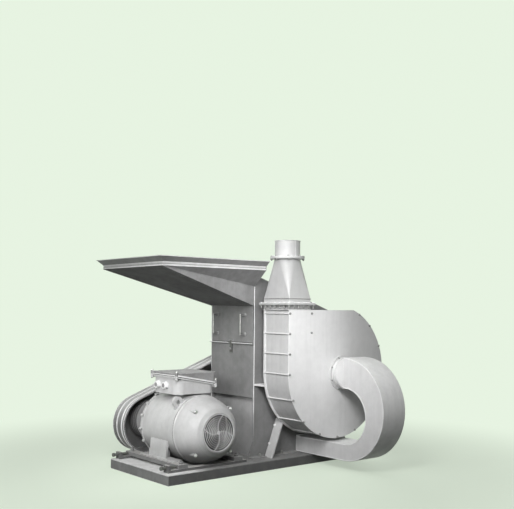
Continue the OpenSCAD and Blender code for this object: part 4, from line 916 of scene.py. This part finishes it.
# V belts
PULLEY_GAP, MOTOR_PULLEY_R, MILL_PULLEY_R = 1.0447, 0.150, 0.080
BELTS_Y, BELT_PITCH, BELT_STEP = 0.468, 0.0255, 0.012
BELT_SECTION = np.array([[-0.014, -0.00645], [-0.0130, -0.0068], [-0.0012, -0.0108], [0, -0.0101],
                         [0, 0.0101], [-0.0012, 0.0108], [-0.0130, 0.0068], [-0.014, 0.00645]])


def belt_line():
    """Loop of the belts' top line: round the motor pulley, up to the mill pulley, round it and back."""
    wrap = math.degrees(math.acos((MOTOR_PULLEY_R - MILL_PULLEY_R) / PULLEY_GAP))
    low = arc((MOTOR_X, 0, MOTOR_Z), ALONG, ACROSS, MOTOR_PULLEY_R, 360 - wrap, wrap, 61)
    high = arc((SHAFT_X, 0, SHAFT_Z), ALONG, ACROSS, MILL_PULLEY_R, wrap, -wrap, 41)
    return np.concatenate([low, high])


belt_places = BELTS_Y + (np.arange(4) - 1.5) * BELT_PITCH
belt_loop = evenly(belt_line(), BELT_STEP, True)
# Belts in a grey far lighter than rubber: painted light lifting the shade inside the guard
belts = add_piece("v_belts", [swept(belt_loop + Y * y, Y, BELT_SECTION, True) for y in belt_places],
                  "belt_rubber", None)
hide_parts("drive_belts")
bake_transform(belts)

# Hopper
HOPPER_BACK_X = -0.0695
RIM_LINE = (-0.9745, -0.3765, 0.4665, 1.4785)
GROOVE_LINE = (-0.9435, -0.3455, 0.4355, 1.4478)
BAND_LINE = (-0.939, -0.341, 0.431, 1.443)
BAND_FOOT, BAND_MIDDLE = 0.0235, 0.0120
RIM_ROLL, BAND_ROLL, GROOVE = 0.0024, 0.0026, 0.0016
PAN_OUT_X, PAN_OUT_Y, PAN_OUT_Z = -0.939, (-0.341, 0.431), 1.418
PAN_IN_X, PAN_IN_Y = -0.070, (-0.211, 0.301)
PAN_FOLDS = ((1.166, 0.0026), (1.305, 0.0022))


def hopper_line(front, near, far, z):
    """Three sides of the hopper at a height: out along the near side, across the front and back."""
    return np.array([(HOPPER_BACK_X, near, z), (front, near, z), (front, far, z), (HOPPER_BACK_X, far, z)])


band_top = hopper_line(*BAND_LINE)
# Rolls along the hopper's rim and band near-white: painted highlight
add_piece("hopper_edges", [
    rod(hopper_line(*RIM_LINE), Z, RIM_ROLL), rod(band_top, Z, BAND_ROLL),
    rod(lift(band_top, Z, -BAND_FOOT), Z, BAND_ROLL),
], "bead_paint", "root")
# Dark rods along the rim's grooves: painted shade
add_piece("hopper_groove_shade", [
    rod(hopper_line(*GROOVE_LINE), Z, GROOVE), rod(lift(band_top, Z, -BAND_MIDDLE), Z, GROOVE),
], "dark_bolt", "root")


def crease(a, b, radius):
    """Rounded fold line between two corners of the pan."""
    run = np.subtract(b, a)
    return rod([a, b], np.cross(run, Y), radius)


add_piece("hopper_folds", [
    crease((PAN_OUT_X, y_out, PAN_OUT_Z), (PAN_IN_X, y_in, z_in), thick)
    for z_in, thick in PAN_FOLDS for y_out, y_in in zip(PAN_OUT_Y, PAN_IN_Y)
], "hopper_paint", "root")

# Mill housing
NEAR_EDGE = np.array([[-0.0665, -0.2125, 1.303], [-0.0665, -0.2125, 0.193], [-0.1135, -0.2125, 0.072]])
FAR_EDGE_Y = 0.3025
EDGE_ROLL, FOLD_ROLL = 0.0028, 0.0034
FOLD_X, FOLD_Z, FOLD_SPANS = -0.0855, 0.890, ((-0.211, 0.028), (0.072, 0.301))
HANDLE_X, HANDLE_Y, HANDLE_Z, HANDLE_HALF = -0.074, (-0.114, 0.215), 1.02815, 0.070
HANDLE_WASHER, HANDLE_NUT = (0.0118, 0.0018), (0.0098, 0.0055)
FOOT_LINE = np.array([[-0.060, -0.2145, 0.0765], [0.335, -0.2145, 0.0765]])
FOOT_NEXT_X, FOOT_FAR_Y, FOOT_WELD = 0.41, 0.519, 0.004
NIPPLES = np.array([[SHAFT_X, -0.2595, 0.757], [SHAFT_X, 0.3445, 0.757]])
NIPPLE_NUT = (0.006, 0.007)
NIPPLE_PROFILE = [(0, 0.007), (0.003, 0.007), (0.003, 0.012), (0.0042, 0.014), (0.0036, 0.0175), (0, 0.018)]

far_edge = NEAR_EDGE * [1, 0, 1] + Y * FAR_EDGE_Y
# Bright lines along the housing's edges and the cover's fold: painted highlight
add_piece("mill_edges", [rod(edge, Y, EDGE_ROLL) for edge in (NEAR_EDGE, far_edge)] + [
    rod([(FOLD_X, y, FOLD_Z) for y in span], Z, FOLD_ROLL) for span in FOLD_SPANS
], "edge_paint", "root")
handle_feet = np.array([(HANDLE_X, y, HANDLE_Z + s * HANDLE_HALF) for y in HANDLE_Y for s in (-1, 1)])
add_piece("handle_bolts", [
    washer(handle_feet, -X, *HANDLE_WASHER),
    hex_nut(lift(handle_feet, -X, HANDLE_WASHER[1]), -X, *HANDLE_NUT),
], "toe_paint", "cover")
add_piece("foot_welds", [
    weld(FOOT_LINE + X * x + Y * y, Z, FOOT_WELD) for y in (0, FOOT_FAR_Y) for x in (0, FOOT_NEXT_X)
], "mill_paint", "root")
add_piece("grease_nipples", [
    hex_nut(NIPPLES, Z, *NIPPLE_NUT), spun(NIPPLE_PROFILE, NIPPLES, Z, 14),
], "bolt_steel", "root")

# Floor, backdrop and lights
PALE = (0.80, 0.90, 0.76)
BOUNCE_GREY, SKY_GREY = 0.10, 0.17
FLOOR_HALF, FLOOR_DROP = 30.0, 0.001
SHADOW_NEAR, SHADOW_FAR, SHADOW_SHARE = 1.3, 3.2, 0.5
# Lamps: place, aim, size, power and spread
LAMPS = {
    "key_lamp": ((-1.75, -1.85, 2.15), (0.05, -0.4, 0.85), 0.9, 15.0, 100.0),
    "left_lamp": ((-3.6, -0.6, 1.5), (-0.6, -0.1, 0.4), 1.4, 9.0, 90.0),
    "fan_lamp": ((-1.4, -2.5, 1.6), (0.18, -0.57, 0.93), 0.5, 2.1, 40.0),
    "hopper_lamp": ((-0.6, -2.6, 1.9), (-0.4, -0.3, 1.36), 0.4, 0.75, 30.0),
    "top_lamp": ((-1.5, -0.8, 3.0), (-0.2, -0.2, 0.7), 1.2, 4.0, 120.0),
    "motor_lamp": ((-2.3, -1.2, 1.2), (-0.75, 0.0, 0.35), 0.6, 1.6, 45.0),
    "back_lamp": ((2.6, 3.2, 2.6), (0.0, 0.0, 0.7), 2.0, 48.0, 140.0),
}


def seen_rays(tree):
    """1 for rays from the camera and from shiny or clear surfaces."""
    path = tree.nodes.new("ShaderNodeLightPath")
    shiny = maths(tree, "MAXIMUM", path.outputs["Is Glossy Ray"], path.outputs["Is Transmission Ray"])
    return maths(tree, "MAXIMUM", path.outputs["Is Camera Ray"], shiny)


def plain_shader(tree, kind, colour):
    """Shader of one colour."""
    n = tree.nodes.new(kind)
    n.inputs["Color"].default_value = (*colour, 1)
    return n.outputs[0]


def mix_shaders(tree, factor, a, b):
    """Shader between a and b by factor."""
    n = tree.nodes.new("ShaderNodeMixShader")
    for socket, v in zip(n.inputs, (factor, a, b)):
        tree.links.new(v, socket)
    return n.outputs[0]


def add_floor():
    """Wide pale floor.

    The camera and shiny metal see the backdrop's tone, with the object's soft shadow near it. Other light
    bounces off a mid grey.
    """
    corners = np.array([[-1, -1, 0], [1, -1, 0], [1, 1, 0], [-1, 1, 0]]) * FLOOR_HALF - Z * FLOOR_DROP
    mesh = bpy.data.meshes.new("floor")
    mesh.from_pydata(corners.tolist(), [], [(0, 1, 2, 3)])
    floor = bpy.data.objects.new("floor", mesh)
    bpy.context.scene.collection.objects.link(floor)
    mat = bpy.data.materials.new("pale_floor")
    mat.use_nodes = True
    tree = mat.node_tree
    tree.nodes.remove(tree.nodes["Principled BSDF"])
    coords = tree.nodes.new("ShaderNodeTexCoord")
    far = vector_maths(tree, "LENGTH", coords.outputs["Object"])
    near = maths(tree, "MULTIPLY", ramp(tree, far, SHADOW_FAR, SHADOW_NEAR), SHADOW_SHARE)
    glow = plain_shader(tree, "ShaderNodeEmission", PALE)
    lit = plain_shader(tree, "ShaderNodeBsdfDiffuse", PALE)
    bounce = plain_shader(tree, "ShaderNodeBsdfDiffuse", grey(BOUNCE_GREY))
    shown = mix_shaders(tree, near, glow, lit)
    both = mix_shaders(tree, seen_rays(tree), bounce, shown)
    tree.links.new(both, tree.nodes["Material Output"].inputs["Surface"])
    mesh.materials.append(mat)


def set_world():
    """Even sky: neutral light on the object, the pale backdrop for the camera and shiny metal."""
    world = bpy.data.worlds.new("studio")
    bpy.context.scene.world = world
    world.use_nodes = True
    tree = world.node_tree
    sky = blend_colour(tree, seen_rays(tree), grey(SKY_GREY), PALE)
    tree.links.new(sky, tree.nodes["Background"].inputs["Color"])


def add_lamp(name, at, aim, size, power, spread):
    """Square soft lamp at a place, turned to a point; spread is the angle that its light fans out to."""
    data = bpy.data.lights.new(name, "AREA")
    data.size = size
    data.energy = power
    data.spread = math.radians(spread)
    lamp = bpy.data.objects.new(name, data)
    lamp.rotation_euler = (Vector(aim) - Vector(at)).to_track_quat("-Z", "Y").to_euler()
    lamp.location = at
    lamp.visible_camera = False
    bpy.context.scene.collection.objects.link(lamp)


add_floor()
set_world()
for name, values in LAMPS.items():
    add_lamp(name, *values)

bpy.context.scene.view_settings.view_transform = "Standard"
